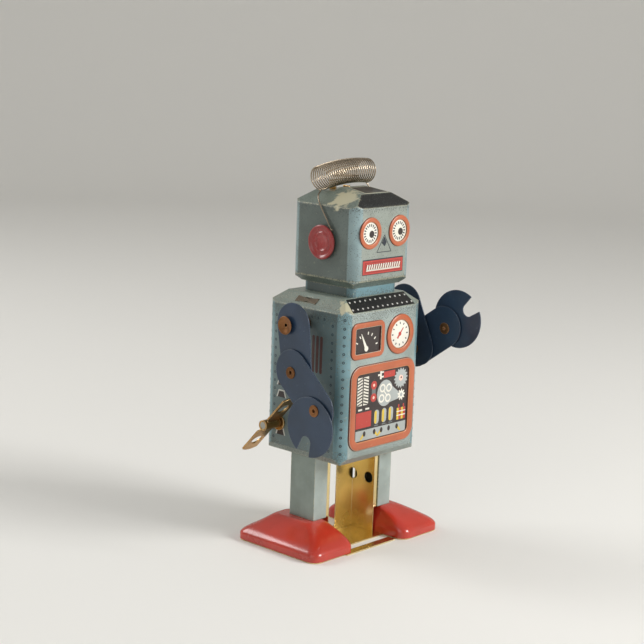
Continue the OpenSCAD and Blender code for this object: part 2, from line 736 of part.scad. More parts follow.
module elbow_rivet(s) { color("goldenrod") arm_rivet(s, elbow(side_index(s)), 0); }
module wrist_rivet(s) { color("goldenrod") arm_rivet(s, wrist(side_index(s)), 1); }

module right_ear() { ear(-1); }
module left_ear() { ear(1); }
module right_motor_plate() { motor_plate(-1); }
module left_motor_plate() { motor_plate(1); }
module right_shoulder_post() { shoulder_post(-1); }
module left_shoulder_post() { shoulder_post(1); }
module right_crank() { crank(-1); }
module left_crank() { crank(1); }
module right_crank_clip() { crank_clip(-1); }
module left_crank_clip() { crank_clip(1); }
module right_leg_case() { leg_case(-1); }
module left_leg_case() { leg_case(1); }
module right_leg_web() { leg_web(-1); }
module left_leg_web() { leg_web(1); }
module right_foot() { foot(-1); }
module left_foot() { foot(1); }
module right_sole() { sole(-1); }
module left_sole() { sole(1); }
module right_upper_arm() { upper_arm(-1); }
module left_upper_arm() { upper_arm(1); }
module right_elbow_rivet() { elbow_rivet(-1); }
module left_elbow_rivet() { elbow_rivet(1); }
module right_forearm() { forearm(-1); }
module left_forearm() { forearm(1); }
module right_wrist_rivet() { wrist_rivet(-1); }
module left_wrist_rivet() { wrist_rivet(1); }
module right_hand() { hand(-1); }
module left_hand() { hand(1); }

body_shell();
back_panel();
base_plate();
shoulder_tabs();
key_bush();
neck_collar();
head_shell();
head_pan();
head_tabs();
right_ear();
left_ear();
coil_aerial();
right_motor_plate();
left_motor_plate();
motor_pillars();
mainspring();
leg_guide_studs();
right_shoulder_post();
left_shoulder_post();
winding_arbor();
ratchet_wheel();
winding_key();
great_wheel();
click();
click_stud();
second_arbor();
second_wheel();
crank_arbor();
crank_wheel();
right_crank();
left_crank();
star_arbor();
star_wheel();
pallet_arbor();
pallet();
right_leg_case();
right_leg_web();
right_foot();
right_sole();
right_crank_clip();
left_leg_case();
left_leg_web();
left_foot();
left_sole();
left_crank_clip();
right_upper_arm();
right_elbow_rivet();
right_forearm();
right_wrist_rivet();
right_hand();
left_upper_arm();
left_elbow_rivet();
left_forearm();
left_wrist_rivet();
left_hand();
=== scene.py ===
import json
import math
from functools import partial

import bmesh
import bpy
import numpy as np
from bpy.props import FloatProperty, FloatVectorProperty, PointerProperty
from mathutils import Matrix, Vector

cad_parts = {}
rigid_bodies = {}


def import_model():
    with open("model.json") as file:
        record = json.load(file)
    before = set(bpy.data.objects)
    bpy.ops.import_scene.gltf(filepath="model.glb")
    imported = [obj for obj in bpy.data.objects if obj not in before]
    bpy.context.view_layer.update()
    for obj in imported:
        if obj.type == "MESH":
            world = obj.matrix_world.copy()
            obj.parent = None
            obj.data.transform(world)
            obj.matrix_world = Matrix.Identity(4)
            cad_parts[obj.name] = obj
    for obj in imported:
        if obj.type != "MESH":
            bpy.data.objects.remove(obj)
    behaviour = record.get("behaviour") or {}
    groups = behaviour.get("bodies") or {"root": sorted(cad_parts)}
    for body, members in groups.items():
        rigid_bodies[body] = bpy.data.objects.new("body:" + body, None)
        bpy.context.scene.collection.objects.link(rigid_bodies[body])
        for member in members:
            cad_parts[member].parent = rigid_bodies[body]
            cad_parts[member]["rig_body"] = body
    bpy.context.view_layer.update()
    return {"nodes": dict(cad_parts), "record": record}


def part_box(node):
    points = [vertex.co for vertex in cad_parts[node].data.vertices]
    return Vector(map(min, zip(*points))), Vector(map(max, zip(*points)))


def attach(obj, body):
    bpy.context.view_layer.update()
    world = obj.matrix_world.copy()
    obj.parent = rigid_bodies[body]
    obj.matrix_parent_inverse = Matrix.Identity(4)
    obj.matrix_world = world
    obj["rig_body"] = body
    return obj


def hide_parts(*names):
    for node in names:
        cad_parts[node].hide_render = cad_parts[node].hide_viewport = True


bl_info = {
    "name": "Tin robot finish",
    "version": (1, 0, 0),
    "blender": (4, 5, 0),
    "location": "View3D > Sidebar > Tin Robot",
    "description": "Printed tin, brass and lacquer for a wind-up robot",
    "category": "Object",
}

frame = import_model()

MM = 0.001
SUNK = -0.12          # how far a printed patch's underside is buried in the tin, in mm
COAT = 0.03           # how far each layer of print stands out, in mm
DOT_PITCH = 4.1       # distance between the printed rivets, in mm


def node_box(node):
    """The lowest and highest corner of a CAD node, in mm."""
    low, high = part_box(node)
    return np.array(low) / MM, np.array(high) / MM


SHELL_LOW, SHELL_HIGH = node_box("body_shell")
HEAD_LOW, HEAD_HIGH = node_box("head_shell")
NECK_LOW, NECK_HIGH = node_box("neck_collar")
HALF_W = SHELL_HIGH[0]                # half the body's width
HALF_D = SHELL_HIGH[1]                # half the body's depth
BODY_TOP = NECK_LOW[2] + 1.6          # the neck's tabs reach 1.6 below the top
CORNER_R = 5.8
SHOULDER_IN = 7.2
SHOULDER_DROP = 6.0
HEAD_HALF = HEAD_HIGH[0]
HEAD_BACK = HEAD_HIGH[1]
HEAD_Y = HEAD_BACK - HEAD_HALF
FACE_Y = HEAD_Y - HEAD_HALF
HEAD_TOP = node_box("head_tabs")[1][2] - 1.5      # the tabs stand 1.5 above the flat of the crown
BROW_IN = 6.3
EYE_APART = 10.5                      # an eye's distance from the middle of the face
EYE_DROP = 17.9                       # an eye's distance below the flat of the crown
GAUGE = (-12.3, 105.8)                # middle of the square gauge's dial
DIAL = (11.7, 106.7)                  # middle of the round gauge
FOOT_RIM = 4.4                        # height of the upright rim of a foot above its sole
BEAD = 0.55                           # radius of the rolled bead round a foot
SKIN_BUMP = 0.1                       # strength of the fine skin on every finish


CAMERA_PLACE = (-0.55421, -0.49900, 0.25129)       # in metres, as is TARGET
TARGET = (0, 0, 0.095)                # what the camera and the lights are turned towards
CAMERA_LENS = 85.39
CAMERA_SHIFT = (-0.0341, 0.0455)
CAMERA_ROLL = 2.15                    # degrees


# ---- colours ----

def linear(code):
    """A six-digit colour code as linear red, green, blue and alpha."""
    parts = [int(code[i:i + 2], 16) / 255 for i in (0, 2, 4)]
    return tuple(c / 12.92 if c < 0.04045 else ((c + 0.055) / 1.055) ** 2.4 for c in parts) + (1.0,)


PALETTE = {name: linear(code) for name, code in {
    "orange": "B5603C", "orange_dark": "5C2C22", "orange_highlight": "D08A55", "field": "2B1F1D",
    "white": "E6E2D6", "grey": "A9AEAC", "grey_dark": "6D7372", "red": "B93A30",
    "red_dark": "7E2420", "yellow": "D9B93A", "black": "0B0A0A", "cream": "D6D0B4", "ink": "1B2430",
    "silver": "C9C9C4", "rivet": "33444B", "stripe": "5B3833", "lamp": "F2C8B8",
}.items()}


# ---- outlines, in mm, on a face's own right and up axes ----

def circle(middle, radius, steps=32, start=0.0):
    """Points at equal angles round a middle."""
    a = start + np.linspace(0, 2 * np.pi, steps, endpoint=False)
    return np.stack([middle[0] + radius * np.cos(a), middle[1] + radius * np.sin(a)], 1)


def oval(middle, half_w, half_h, steps=40):
    """A circle stretched to two half-widths."""
    return np.array(middle) + (circle((0, 0), 1, steps) * (half_w, half_h))


def rounded(middle, w, h, r, steps=8):
    """Four quarter circles about the corners of a rectangle, joined by its sides."""
    out = []
    for k, (sx, sy) in enumerate(((1, 1), (-1, 1), (-1, -1), (1, -1))):
        a = np.linspace(k * np.pi / 2, (k + 1) * np.pi / 2, steps)
        out.append(np.stack([middle[0] + sx * (w / 2 - r) + r * np.cos(a),
                             middle[1] + sy * (h / 2 - r) + r * np.sin(a)], 1))
    return np.concatenate(out)


def rect(x0, z0, x1, z1):
    """The four corners of a rectangle, counter-clockwise."""
    return np.array([(x0, z0), (x1, z0), (x1, z1), (x0, z1)], float)


def stroke(a, b, width, end_width=None):
    """A straight bar from a to b, which may taper."""
    a, b = np.array(a, float), np.array(b, float)
    side = np.array([-(b - a)[1], (b - a)[0]]) / np.linalg.norm(b - a) / 2
    end = width if end_width is None else end_width
    return np.array([a + side * width, a - side * width, b - side * end, b + side * end])


def cog(middle, radius, teeth, depth, turn=0.0):
    """A wheel whose radius steps out and in once for each tooth."""
    a = np.arange(teeth * 4) * 2 * np.pi / (teeth * 4) + turn
    r = radius - depth * (np.arange(teeth * 4) % 4 >= 2)
    return np.stack([middle[0] + r * np.cos(a), middle[1] + r * np.sin(a)], 1)


def capsule(x, z0, z1, width, steps=9):
    """Two half circles one above the other, joined by straight sides."""
    r = width / 2
    a = np.linspace(0, np.pi, steps)
    top = np.stack([x + r * np.cos(a), z1 - r + r * np.sin(a)], 1)
    low = np.stack([x - r * np.cos(a), z0 + r - r * np.sin(a)], 1)
    return np.concatenate([top, low])


class Face:
    """A flat face of the tin, by a point on it and its right-hand and upward directions."""

    def __init__(self, point, right, up):
        self.point = np.array(point, float)
        self.right = np.array(right, float) / np.linalg.norm(right)
        self.up = np.array(up, float) / np.linalg.norm(up)
        self.out = np.cross(self.right, self.up)

    def place(self, points, height):
        """Each point goes right and up along the face and out of it by the height."""
        points = np.asarray(points, float)
        return self.point + np.outer(points[:, 0], self.right) + np.outer(points[:, 1], self.up) \
            + np.reshape(height, (-1, 1)) * self.out


CHEST = Face((0, -HALF_D, 0), (1, 0, 0), (0, 0, 1))
RIGHT_SIDE = Face((-HALF_W, 0, 0), (0, -1, 0), (0, 0, 1))
LEFT_SIDE = Face((HALF_W, 0, 0), (0, 1, 0), (0, 0, 1))
BACK = Face((0, HALF_D, 0), (-1, 0, 0), (0, 0, 1))
SHOULDER = Face((0, -HALF_D, BODY_TOP - SHOULDER_DROP), (1, 0, 0), (0, SHOULDER_IN, SHOULDER_DROP))
FACE = Face((0, FACE_Y, 0), (1, 0, 0), (0, 0, 1))
CROWN_RISE = 1.9
CROWN = Face((0, FACE_Y + BROW_IN + 0.05, HEAD_TOP), (1, 0, 0), (0, 12.8, CROWN_RISE))


class Print:
    """Gathers closed, coloured prisms into one piece; colour is kept on each point."""

    def __init__(self):
        self.points, self.colours, self.faces, self.count = [], [], [], 0

    def add(self, points, faces, colour):
        """Appends one prism, its faces counted on from the points already there."""
        self.points.append(points)
        self.faces.extend(tuple(i + self.count for i in f) for f in faces)
        self.colours.append(np.tile(PALETTE[colour], (len(points), 1)))
        self.count += len(points)

    def patch(self, face, outline, colour, level=1.0):
        """An outline drawn twice, sunk in the tin and a coat above it, with walls between."""
        n = len(outline)
        area = np.sum(outline[:, 0] * np.roll(outline[:, 1], -1) - outline[:, 1] * np.roll(outline[:, 0],
                                                                                           -1))
        outline = outline if area > 0 else outline[::-1]
        points = np.concatenate([face.place(outline, np.full(n, SUNK)),
                                 face.place(outline, np.full(n, COAT * level))])
        walls = [(i, (i + 1) % n, (i + 1) % n + n, i + n) for i in range(n)]
        self.add(points, [tuple(range(n - 1, -1, -1)), tuple(range(n, 2 * n))] + walls, colour)

    def band(self, face, outer, inner, colour, level=1.0):
        """Two outlines with as many points each, closed into a flat ring."""
        n = len(outer)
        height = COAT * level
        points = np.concatenate([face.place(outer, np.full(n, SUNK)), face.place(inner, np.full(n, SUNK)),
                                 face.place(inner, np.full(n, height)),
                                 face.place(outer, np.full(n, height))])
        faces = [(a * n + i, a * n + (i + 1) % n, b * n + (i + 1) % n, b * n + i)
                 for a, b in ((0, 1), (1, 2), (2, 3), (3, 0)) for i in range(n)]
        self.add(points, faces, colour)

    def piece(self, name, material, body, slot):
        """Everything gathered so far as one object."""
        return finish_piece(name, np.concatenate(self.points), self.faces, material, body,
                            np.concatenate(self.colours))


def finish_piece(name, points, faces, material, body, colours=None, smooth=None, replaces=()):
    """Makes a mesh from points in mm, turns its faces outwards and hangs it on a body."""
    mesh = bpy.data.meshes.new(name)
    mesh.from_pydata((np.asarray(points) * MM).tolist(), [], faces)
    if colours is not None:
        mesh.color_attributes.new("print", "FLOAT_COLOR", "POINT").data.foreach_set("color",
                                                                                    colours.ravel())
    work = bmesh.new()
    work.from_mesh(mesh)
    bmesh.ops.recalc_face_normals(work, faces=work.faces)
    work.to_mesh(mesh)
    work.free()
    piece = bpy.data.objects.new(name, mesh)
    bpy.context.scene.collection.objects.link(piece)
    mesh.materials.append(bpy.data.materials[material])
    if smooth is not None:
        mesh.shade_smooth()
        mesh.set_sharp_from_angle(angle=math.radians(smooth))
    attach(piece, body)
    if replaces:
        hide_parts(*replaces)
    return piece


def ring_faces(rings, around, closed=False):
    """Quads between neighbouring rings of a grid, the last ring joined to the first if closed."""
    last = rings if closed else rings - 1
    return [(r * around + i, r * around + (i + 1) % around,
             (r + 1) % rings * around + (i + 1) % around, (r + 1) % rings * around + i)
            for r in range(last) for i in range(around)]


def rolled_frame(face, outlines, height):
    """A raised frame: outlines step inwards while the height rises and falls as a half sine."""
    t = np.linspace(0, np.pi, len(outlines))
    rise = height * np.sin(t) ** 0.6
    rings = [face.place(o, np.full(len(o), h)) for o, h in zip(outlines, rise)]
    rings.insert(0, face.place(outlines[0], np.full(len(outlines[0]), SUNK)))
    rings.append(face.place(outlines[-1], np.full(len(outlines[-1]), SUNK)))
    return np.concatenate(rings), ring_faces(len(rings), len(outlines[0]), closed=True)


def frame_piece(name, face, outlines, height):
    """A raised frame printed orange, with a thin dark line along both of its edges and one lighter ring
    near its inner edge as a painted highlight.
    """
    points, faces = rolled_frame(face, outlines, height)
    rings = len(outlines) + 2
    # one orange ring near the inner edge is a painted highlight
    shade = ["orange_dark"] * 3 + ["orange"] * (rings - 7) + ["orange_highlight"] + ["orange_dark"] * 3
    colours = np.repeat([PALETTE[c] for c in shade], len(outlines[0]), axis=0)
    finish_piece(name, points, faces, "litho ink", "case", colours, smooth=60)


def rim_steps(rim, count=13):
    """Offsets from a frame's outer edge to its inner one, close together near both."""
    return rim * (1 - np.cos(np.linspace(0, np.pi, count))) / 2


def turned(centre, axis, profile, around=64, bored=False):
    """A turned body: (radius, distance) pairs go round the axis, from pole to pole or as a closed loop."""
    axis = np.array(axis, float)
    side = np.cross(axis, (0.0, 0.0, 1.0) if abs(axis[2]) < 0.9 else (1.0, 0.0, 0.0))
    side /= np.linalg.norm(side)
    other = np.cross(axis, side)
    a = np.linspace(0, 2 * np.pi, around, endpoint=False)
    profile = np.asarray(profile, float)
    middle = profile if bored else profile[1:-1]
    radial = np.outer(np.cos(a), side) + np.outer(np.sin(a), other)
    rings = (middle[:, 0, None, None] * radial + middle[:, 1, None, None] * axis).reshape(-1, 3)
    if bored:
        return rings + np.array(centre, float), ring_faces(len(middle), around, closed=True)
    poles = np.array([profile[0][1] * axis, profile[-1][1] * axis])
    points = np.concatenate([rings, poles]) + np.array(centre, float)
    first, last = len(rings), len(rings) + 1
    faces = ring_faces(len(middle), around)
    top = (len(middle) - 1) * around
    faces += [(first, (i + 1) % around, i) for i in range(around)]
    faces += [(last, top + i, top + (i + 1) % around) for i in range(around)]
    return points, faces


# ---- materials ----

class Nodes:
    """Adds nodes to a tree; an input may be a plain value or another node's socket."""

    def __init__(self, tree):
        self.tree = tree

    def add(self, kind, inputs=None, **settings):
        """A node with its settings, its inputs given by name or number."""
        node = self.tree.nodes.new(kind)
        for key, value in settings.items():
            setattr(node, key, value)
        for key, value in (inputs or {}).items():
            if isinstance(value, bpy.types.NodeSocket):
                self.tree.links.new(value, node.inputs[key])
            else:
                node.inputs[key].default_value = value
        return node

    def math(self, operation, a, b=0.0, clamp=False):
        """One sum on two values."""
        return self.add("ShaderNodeMath", {0: a, 1: b}, operation=operation, use_clamp=clamp).outputs[0]

    def mix(self, factor, a, b):
        """Colour a where the factor is 0, and b where it is 1."""
        node = self.add("ShaderNodeMix", {0: factor, 6: a, 7: b}, data_type="RGBA")
        return node.outputs[2]

    def noise(self, where, scale, detail=3.0):
        """Cloudy noise between 0 and 1."""
        return self.add("ShaderNodeTexNoise",
                        {"Vector": where, "Scale": scale, "Detail": detail}).outputs["Fac"]

    def place(self, name, **inputs):
        """A shared node group with its own plain values."""
        node = self.add("ShaderNodeGroup", node_tree=bpy.data.node_groups[name])
        for key, value in inputs.items():
            node.inputs[key].default_value = value
        return node

    def step(self, value, low, high):
        """0 below low and 1 above high, smooth between."""
        node = self.add("ShaderNodeMapRange", {0: value, 1: low, 2: high}, interpolation_type="SMOOTHSTEP")
        return node.outputs[0]


def group(name, inputs, outputs):
    """An empty node group with named sockets."""
    tree = bpy.data.node_groups.new(name, "ShaderNodeTree")
    for label, kind, default in inputs:
        socket = tree.interface.new_socket(label, in_out="INPUT", socket_type=kind)
        socket.default_value = default
    for label, kind in outputs:
        tree.interface.new_socket(label, in_out="OUTPUT", socket_type=kind)
    kit = Nodes(tree)
    return kit, kit.add("NodeGroupInput"), kit.add("NodeGroupOutput")


def build_edge_wear():
    """Where a widened, softened edge turns away from the true surface, broken up by noise."""
    kit, given, out = group("edge wear",
                            [("Width", "NodeSocketFloat", 0.0005), ("Breakup", "NodeSocketFloat", 900.0),
                                          ("Amount", "NodeSocketFloat", 1.0)],
                            [("Wear", "NodeSocketFloat"), ("Normal", "NodeSocketVector")])
    where = kit.add("ShaderNodeTexCoord").outputs["Object"]
    soft = kit.add("ShaderNodeBevel", {"Radius": given.outputs["Width"]}, samples=6)
    true = kit.add("ShaderNodeNewGeometry")
    turn = kit.add("ShaderNodeVectorMath", {0: soft.outputs[0], 1: true.outputs["Normal"]},
                   operation="DOT_PRODUCT")
    edge = kit.step(kit.math("SUBTRACT", 1.0, turn.outputs["Value"]), 0.01, 0.14)
    broken = kit.step(kit.noise(where, given.outputs["Breakup"], 4.0), 0.34, 0.62)
    wear = kit.math("MULTIPLY", kit.math("MULTIPLY", edge, broken), given.outputs["Amount"], clamp=True)
    kit.tree.links.new(wear, out.inputs["Wear"])
    kit.tree.links.new(soft.outputs[0], out.inputs["Normal"])


def build_grain():
    """Two sizes of noise: slow clouds for tone and a fine one for the skin of the surface."""
    kit, given, out = group("grain",
                            [("Cloud", "NodeSocketFloat", 60.0), ("Fine", "NodeSocketFloat", 1800.0)],
                            [("Tone", "NodeSocketFloat"), ("Skin", "NodeSocketFloat"),
                             ("Specks", "NodeSocketFloat")])
    where = kit.add("ShaderNodeTexCoord").outputs["Object"]
    skin = kit.noise(where, given.outputs["Fine"], 2.0)
    kit.tree.links.new(kit.step(kit.noise(where, given.outputs["Cloud"], 5.0), 0.32, 0.7),
                       out.inputs["Tone"])
    kit.tree.links.new(skin, out.inputs["Skin"])
    specks = kit.step(kit.noise(where, 620.0, 5.0), 0.64, 0.72)
    kit.tree.links.new(specks, out.inputs["Specks"])


def build_tin_faces():
    """Chooses between the front, side, rounded corner and upper bevel colours by the surface's turn; the
    side colours are set darker than the front partly as painted shade, and the corner colours are a painted
    highlight.
    """
    colours = [(n, "NodeSocketColor", (1, 1, 1, 1)) for n in ("Front", "Side", "Corner highlight", "Bevel")]
    kit, given, out = group("tin faces", colours, [("Colour", "NodeSocketColor")])
    split = kit.add("ShaderNodeSeparateXYZ", {0: kit.add("ShaderNodeNewGeometry").outputs["Normal"]})
    x, y, z = (kit.math("ABSOLUTE", split.outputs[i]) for i in range(3))
    front = kit.step(kit.math("SUBTRACT", y, x), 0.5, 0.8)
    # the rounded corners get a lighter, bluer colour as a painted highlight
    corner = kit.step(kit.math("MULTIPLY", x, y), 0.06, 0.2)
    base = kit.mix(front, given.outputs["Side"], given.outputs["Front"])
    base = kit.mix(corner, base, given.outputs["Corner highlight"])
    base = kit.mix(kit.step(z, 0.3, 0.5), base, given.outputs["Bevel"])
    kit.tree.links.new(base, out.inputs["Colour"])


def build_rub():
    """Speckled rubbing near one height: fine noise passes a threshold that falls towards that height."""
    kit, given, out = group("rub",
                            [("Level", "NodeSocketFloat", 0.05), ("Reach", "NodeSocketFloat", 0.005)],
                            [("Mask", "NodeSocketFloat")])
    where = kit.add("ShaderNodeTexCoord").outputs["Object"]
    height = kit.add("ShaderNodeSeparateXYZ", {0: where}).outputs[2]
    away = kit.math("ABSOLUTE", kit.math("SUBTRACT", height, given.outputs["Level"]))
    near = kit.math("SUBTRACT", 1.0, kit.math("DIVIDE", away, given.outputs["Reach"]), clamp=True)
    lift = kit.math("ADD", kit.noise(where, 1700.0, 5.0), kit.math("MULTIPLY", near, 0.15))
    kit.tree.links.new(kit.step(lift, 0.58, 0.72), out.inputs["Mask"])


def build_spot():
    """A worn patch: inside a radius about a centre, with an edge that noise breaks up."""
    kit, given, out = group("worn spot", [("Centre", "NodeSocketVector", (0, 0, 0)),
                                          ("Radius", "NodeSocketFloat", 0.006)],
                                          [("Mask", "NodeSocketFloat")])
    where = kit.add("ShaderNodeTexCoord").outputs["Object"]
    away = kit.add("ShaderNodeVectorMath", {0: where, 1: given.outputs["Centre"]}, operation="DISTANCE")
    ragged = kit.math("MULTIPLY", kit.math("SUBTRACT", kit.noise(where, 330.0, 7.0), 0.5), 0.011)
    share = kit.math("DIVIDE", kit.math("ADD", away.outputs["Value"], ragged), given.outputs["Radius"])
    kit.tree.links.new(kit.math("SUBTRACT", 1.0, kit.step(share, 0.72, 1.0)), out.inputs["Mask"])


def build_brow():
    """The black brow: the bevel that faces both forwards and upwards, fading out before the worn corner."""
    kit, given, out = group("brow", [("Start", "NodeSocketFloat", -0.016)], [("Mask", "NodeSocketFloat")])
    where = kit.add("ShaderNodeTexCoord").outputs["Object"]
    turn = kit.add("ShaderNodeSeparateXYZ", {0: kit.add("ShaderNodeNewGeometry").outputs["Normal"]})
    across = kit.add("ShaderNodeSeparateXYZ", {0: where}).outputs[0]
    ragged = kit.math("MULTIPLY", kit.math("SUBTRACT", kit.noise(where, 500.0, 6.0), 0.5), 0.008)
    past = kit.math("SUBTRACT", kit.math("ADD", across, ragged), given.outputs["Start"])
    forward = kit.step(kit.math("MULTIPLY", turn.outputs[1], -1.0), 0.25, 0.4)
    upward = kit.step(turn.outputs[2], 0.3, 0.45)
    mask = kit.math("MULTIPLY", kit.math("MULTIPLY", forward, upward), kit.step(past, 0.0, 0.003))
    kit.tree.links.new(mask, out.inputs["Mask"])


def surface(name, colour, worn, rough, metallic=0.0, coat=0.0, wear=1.0, width=0.0005,
            dark=0.72, faces=None, attribute=None, speck=0.0, rubs=(), spots=(), brow=None):
    """One finish: a colour clouded by grain, rubbed and worn along its edges, with a fine skin."""
    material = bpy.data.materials.new(name)
    material.use_nodes = True
    material.node_tree.nodes.clear()
    kit = Nodes(material.node_tree)
    edge = kit.place("edge wear", Width=width, Amount=wear)
    grain = kit.place("grain")
    if faces:
        base = kit.place("tin faces", **faces).outputs["Colour"]
    elif attribute:
        base = kit.add("ShaderNodeAttribute", attribute_name=attribute).outputs["Color"]
    else:
        base = colour
    shade = kit.add("ShaderNodeMix", {0: 1.0, 6: base, 7: (dark, dark, dark * 0.97, 1)},
                    data_type="RGBA", blend_type="MULTIPLY").outputs[2]
    base = kit.mix(grain.outputs["Tone"], shade, base)
    if speck:
        base = kit.mix(kit.math("MULTIPLY", grain.outputs["Specks"], speck), base, worn)
    if brow is not None:
        base = kit.mix(kit.place("brow", Start=brow).outputs["Mask"], base, PALETTE["black"])
    for level, reach, tint in rubs:
        rub = kit.place("rub", Level=level, Reach=reach)
        base = kit.mix(kit.math("MULTIPLY", rub.outputs["Mask"], 0.7), base, tint)
    for centre, radius in spots:
        spot = kit.place("worn spot", Centre=centre, Radius=radius)
        base = kit.mix(spot.outputs["Mask"], base, worn)
    base = kit.mix(edge.outputs["Wear"], base, worn)
    roughness = kit.math("ADD", kit.math("MULTIPLY", grain.outputs["Tone"], -0.1), rough + 0.08, clamp=True)
    bump = kit.add("ShaderNodeBump", {"Height": grain.outputs["Skin"], "Strength": SKIN_BUMP,
                                      "Distance": 0.0001, "Normal": edge.outputs["Normal"]})
    shader = kit.add("ShaderNodeBsdfPrincipled", {"Base Color": base, "Roughness": roughness,
                                                  "Normal": bump.outputs[0], "Metallic": metallic,
                                                  "Coat Weight": coat, "Coat Roughness": 0.12})
    kit.add("ShaderNodeOutputMaterial", {0: shader.outputs[0]})
    return material


def tin_colours(front, side, corner, bevel):
    return {"Front": front, "Side": side, "Corner highlight": corner, "Bevel": bevel}


def build_finishes(colours):
    """Every finish that the robot uses, by name."""
    for build in (build_edge_wear, build_grain, build_tin_faces, build_rub, build_spot, build_brow):
        build()
    cream, pit = linear("C1BC9F"), linear("4A5150")
    front, side, corner = (tuple(c) + (1,) for c in (colours.front, colours.side, colours.corner))
    # each side colour is darker than its front partly as painted shade, and each corner colour is a painted
    # highlight on the rounded corners
    body_faces = tin_colours(front, side, corner, linear("8C9A92"))
    head_faces = tin_colours(*map(linear, ("949B93", "65706C", "8BA0A3", "7C897F")))
    leg_faces = tin_colours(*map(linear, ("A6B2AE", "89968F", "8FA2A4", "89968F")))
    neck_faces = tin_colours(*map(linear, ("668B94", "4A5857", "5C7C84", "72817F")))
    surface("printed tin", None, cream, 0.34, 0.15, 0.25, 0.95, 0.0012, speck=0.25, faces=body_faces,
            rubs=((0.0485, 0.006, pit), (0.1225, 0.006, linear("AFAE9C")), (0.1190, 0.007, pit)),
            spots=(((-0.0245, -0.0222, 0.1235), 0.0042),))
    surface("head tin", None, cream, 0.32, 0.15, 0.3, 0.95, 0.0012, speck=0.15, faces=head_faces,
            brow=-0.0215,
            rubs=((0.1690, 0.003, pit), (0.1335, 0.004, pit)),
            spots=(((-0.0150, -0.0105, 0.1735), 0.0080),))
    surface("leg tin", None, cream, 0.33, 0.2, 0.25, 0.9, 0.0008, speck=0.2, faces=leg_faces)
    surface("neck tin", None, cream, 0.36, 0.1, 0.2, 0.8, 0.0008, speck=0.3, faces=neck_faces,
            rubs=((0.1270, 0.003, pit),))
    surface("litho ink", None, cream, 0.36, 0.0, 0.12, 0.0, 0.0001, attribute="print", dark=0.84,
            speck=0.12)
    surface("navy plate", tuple(colours.arm) + (1,), linear("7F8C98"), 0.36, 0.1, 0.3, 0.9, 0.0005,
            speck=0.10)
    surface("red lacquer", tuple(colours.foot) + (1,), linear("D98A6E"), 0.2, 0.0, 0.5, 0.5, 0.0006,
            dark=0.8)
    surface("ear lacquer", linear("9A2A2A"), linear("C97A6A"), 0.26, 0.0, 0.5, 0.6, 0.0005, dark=0.8)
    surface("brown tab", linear("6E6150"), linear("B2A88E"), 0.4, 0.5, 0.1, 0.9, 0.0004, speck=0.5)
    surface("gold tin", linear("F0DAA2"), linear("F7EBC8"), 0.2, 1.0, 0.0, 0.6, 0.0005, dark=0.82)
    surface("aged brass", linear("C79A5E"), linear("F0D6A2"), 0.25, 1.0, 0.0, 0.9, 0.0006, dark=0.5)
    surface("dull copper", linear("9A6B46"), linear("D2A877"), 0.36, 1.0, 0.0, 0.9, 0.0004, dark=0.45,
            speck=0.2)
    surface("spring wire", linear("B9A994"), linear("E8DCC8"), 0.22, 1.0, 0.0, 0.3, 0.0002, dark=0.55)
    surface("turned steel", linear("B4B4B0"), linear("DDDDDD"), 0.28, 1.0, 0.0, 0.5, 0.0003, dark=0.7)


SLOT_FINISH = {
    "body_print": "printed tin", "head_print": "head tin", "leg_print": "leg tin", "neck_print": "neck tin",
    "arm_print": "navy plate", "foot_print": "red lacquer", "ear_print": "ear lacquer",
    "brown_tab": "brown tab", "gold_tin": "gold tin", "brass": "aged brass", "rivet_copper": "dull copper",
    "spring_wire": "spring wire", "steel": "turned steel",
}


# ---- pieces made from CAD shapes with rounded edges ----

def softened(node, width, segments=2, angle=35):
    """A copy of a CAD node: doubles merged, flat faces joined, then every sharp edge rounded."""
    source = frame["nodes"][node]
    mesh = source.data.copy()
    mesh.name = node + "_soft"
    work = bmesh.new()
    work.from_mesh(mesh)
    bmesh.ops.remove_doubles(work, verts=work.verts, dist=2e-6)
    bmesh.ops.dissolve_limit(work, angle_limit=math.radians(0.6), verts=work.verts, edges=work.edges)
    sharp = [e for e in work.edges if len(e.link_faces) == 2 and e.calc_face_angle(0) > math.radians(angle)]
    bmesh.ops.bevel(work, geom=sharp, offset=width * MM, segments=segments, profile=0.5,
                    affect="EDGES", clamp_overlap=True)
    bmesh.ops.recalc_face_normals(work, faces=work.faces)
    work.to_mesh(mesh)
    work.free()
    slot = next(s["material_slot"] for s in frame["record"]["subparts"] if s["node"] == node)
    mesh.materials.clear()
    mesh.materials.append(bpy.data.materials[SLOT_FINISH[slot]])
    mesh.shade_smooth()
    mesh.set_sharp_from_angle(angle=math.radians(50))
    piece = bpy.data.objects.new(node + "_soft", mesh)
    bpy.context.scene.collection.objects.link(piece)
    level = piece.modifiers.new("level faces", "WEIGHTED_NORMAL")
    level.weight = 100
    level.keep_sharp = True
    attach(piece, source["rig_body"])
    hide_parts(node)
    return piece


# ---- the aerial ----

def smooth_route(knots, per_span=12):
    """A curve through every knot, whose heading at a knot is half the way between its neighbours."""
    knots = np.asarray(knots, float)
    ends = np.concatenate([[2 * knots[0] - knots[1]], knots, [2 * knots[-1] - knots[-2]]])
    t = np.linspace(0, 1, per_span, endpoint=False)[:, None]
    spans = []
    for a, b, c, d in zip(ends, ends[1:], ends[2:], ends[3:]):
        spans.append(0.5 * (2 * b + (c - a) * t + (2 * a - 5 * b + 4 * c - d) * t ** 2
                            + (3 * b - a - 3 * c + d) * t ** 3))
    return np.concatenate(spans + [knots[-1:]])


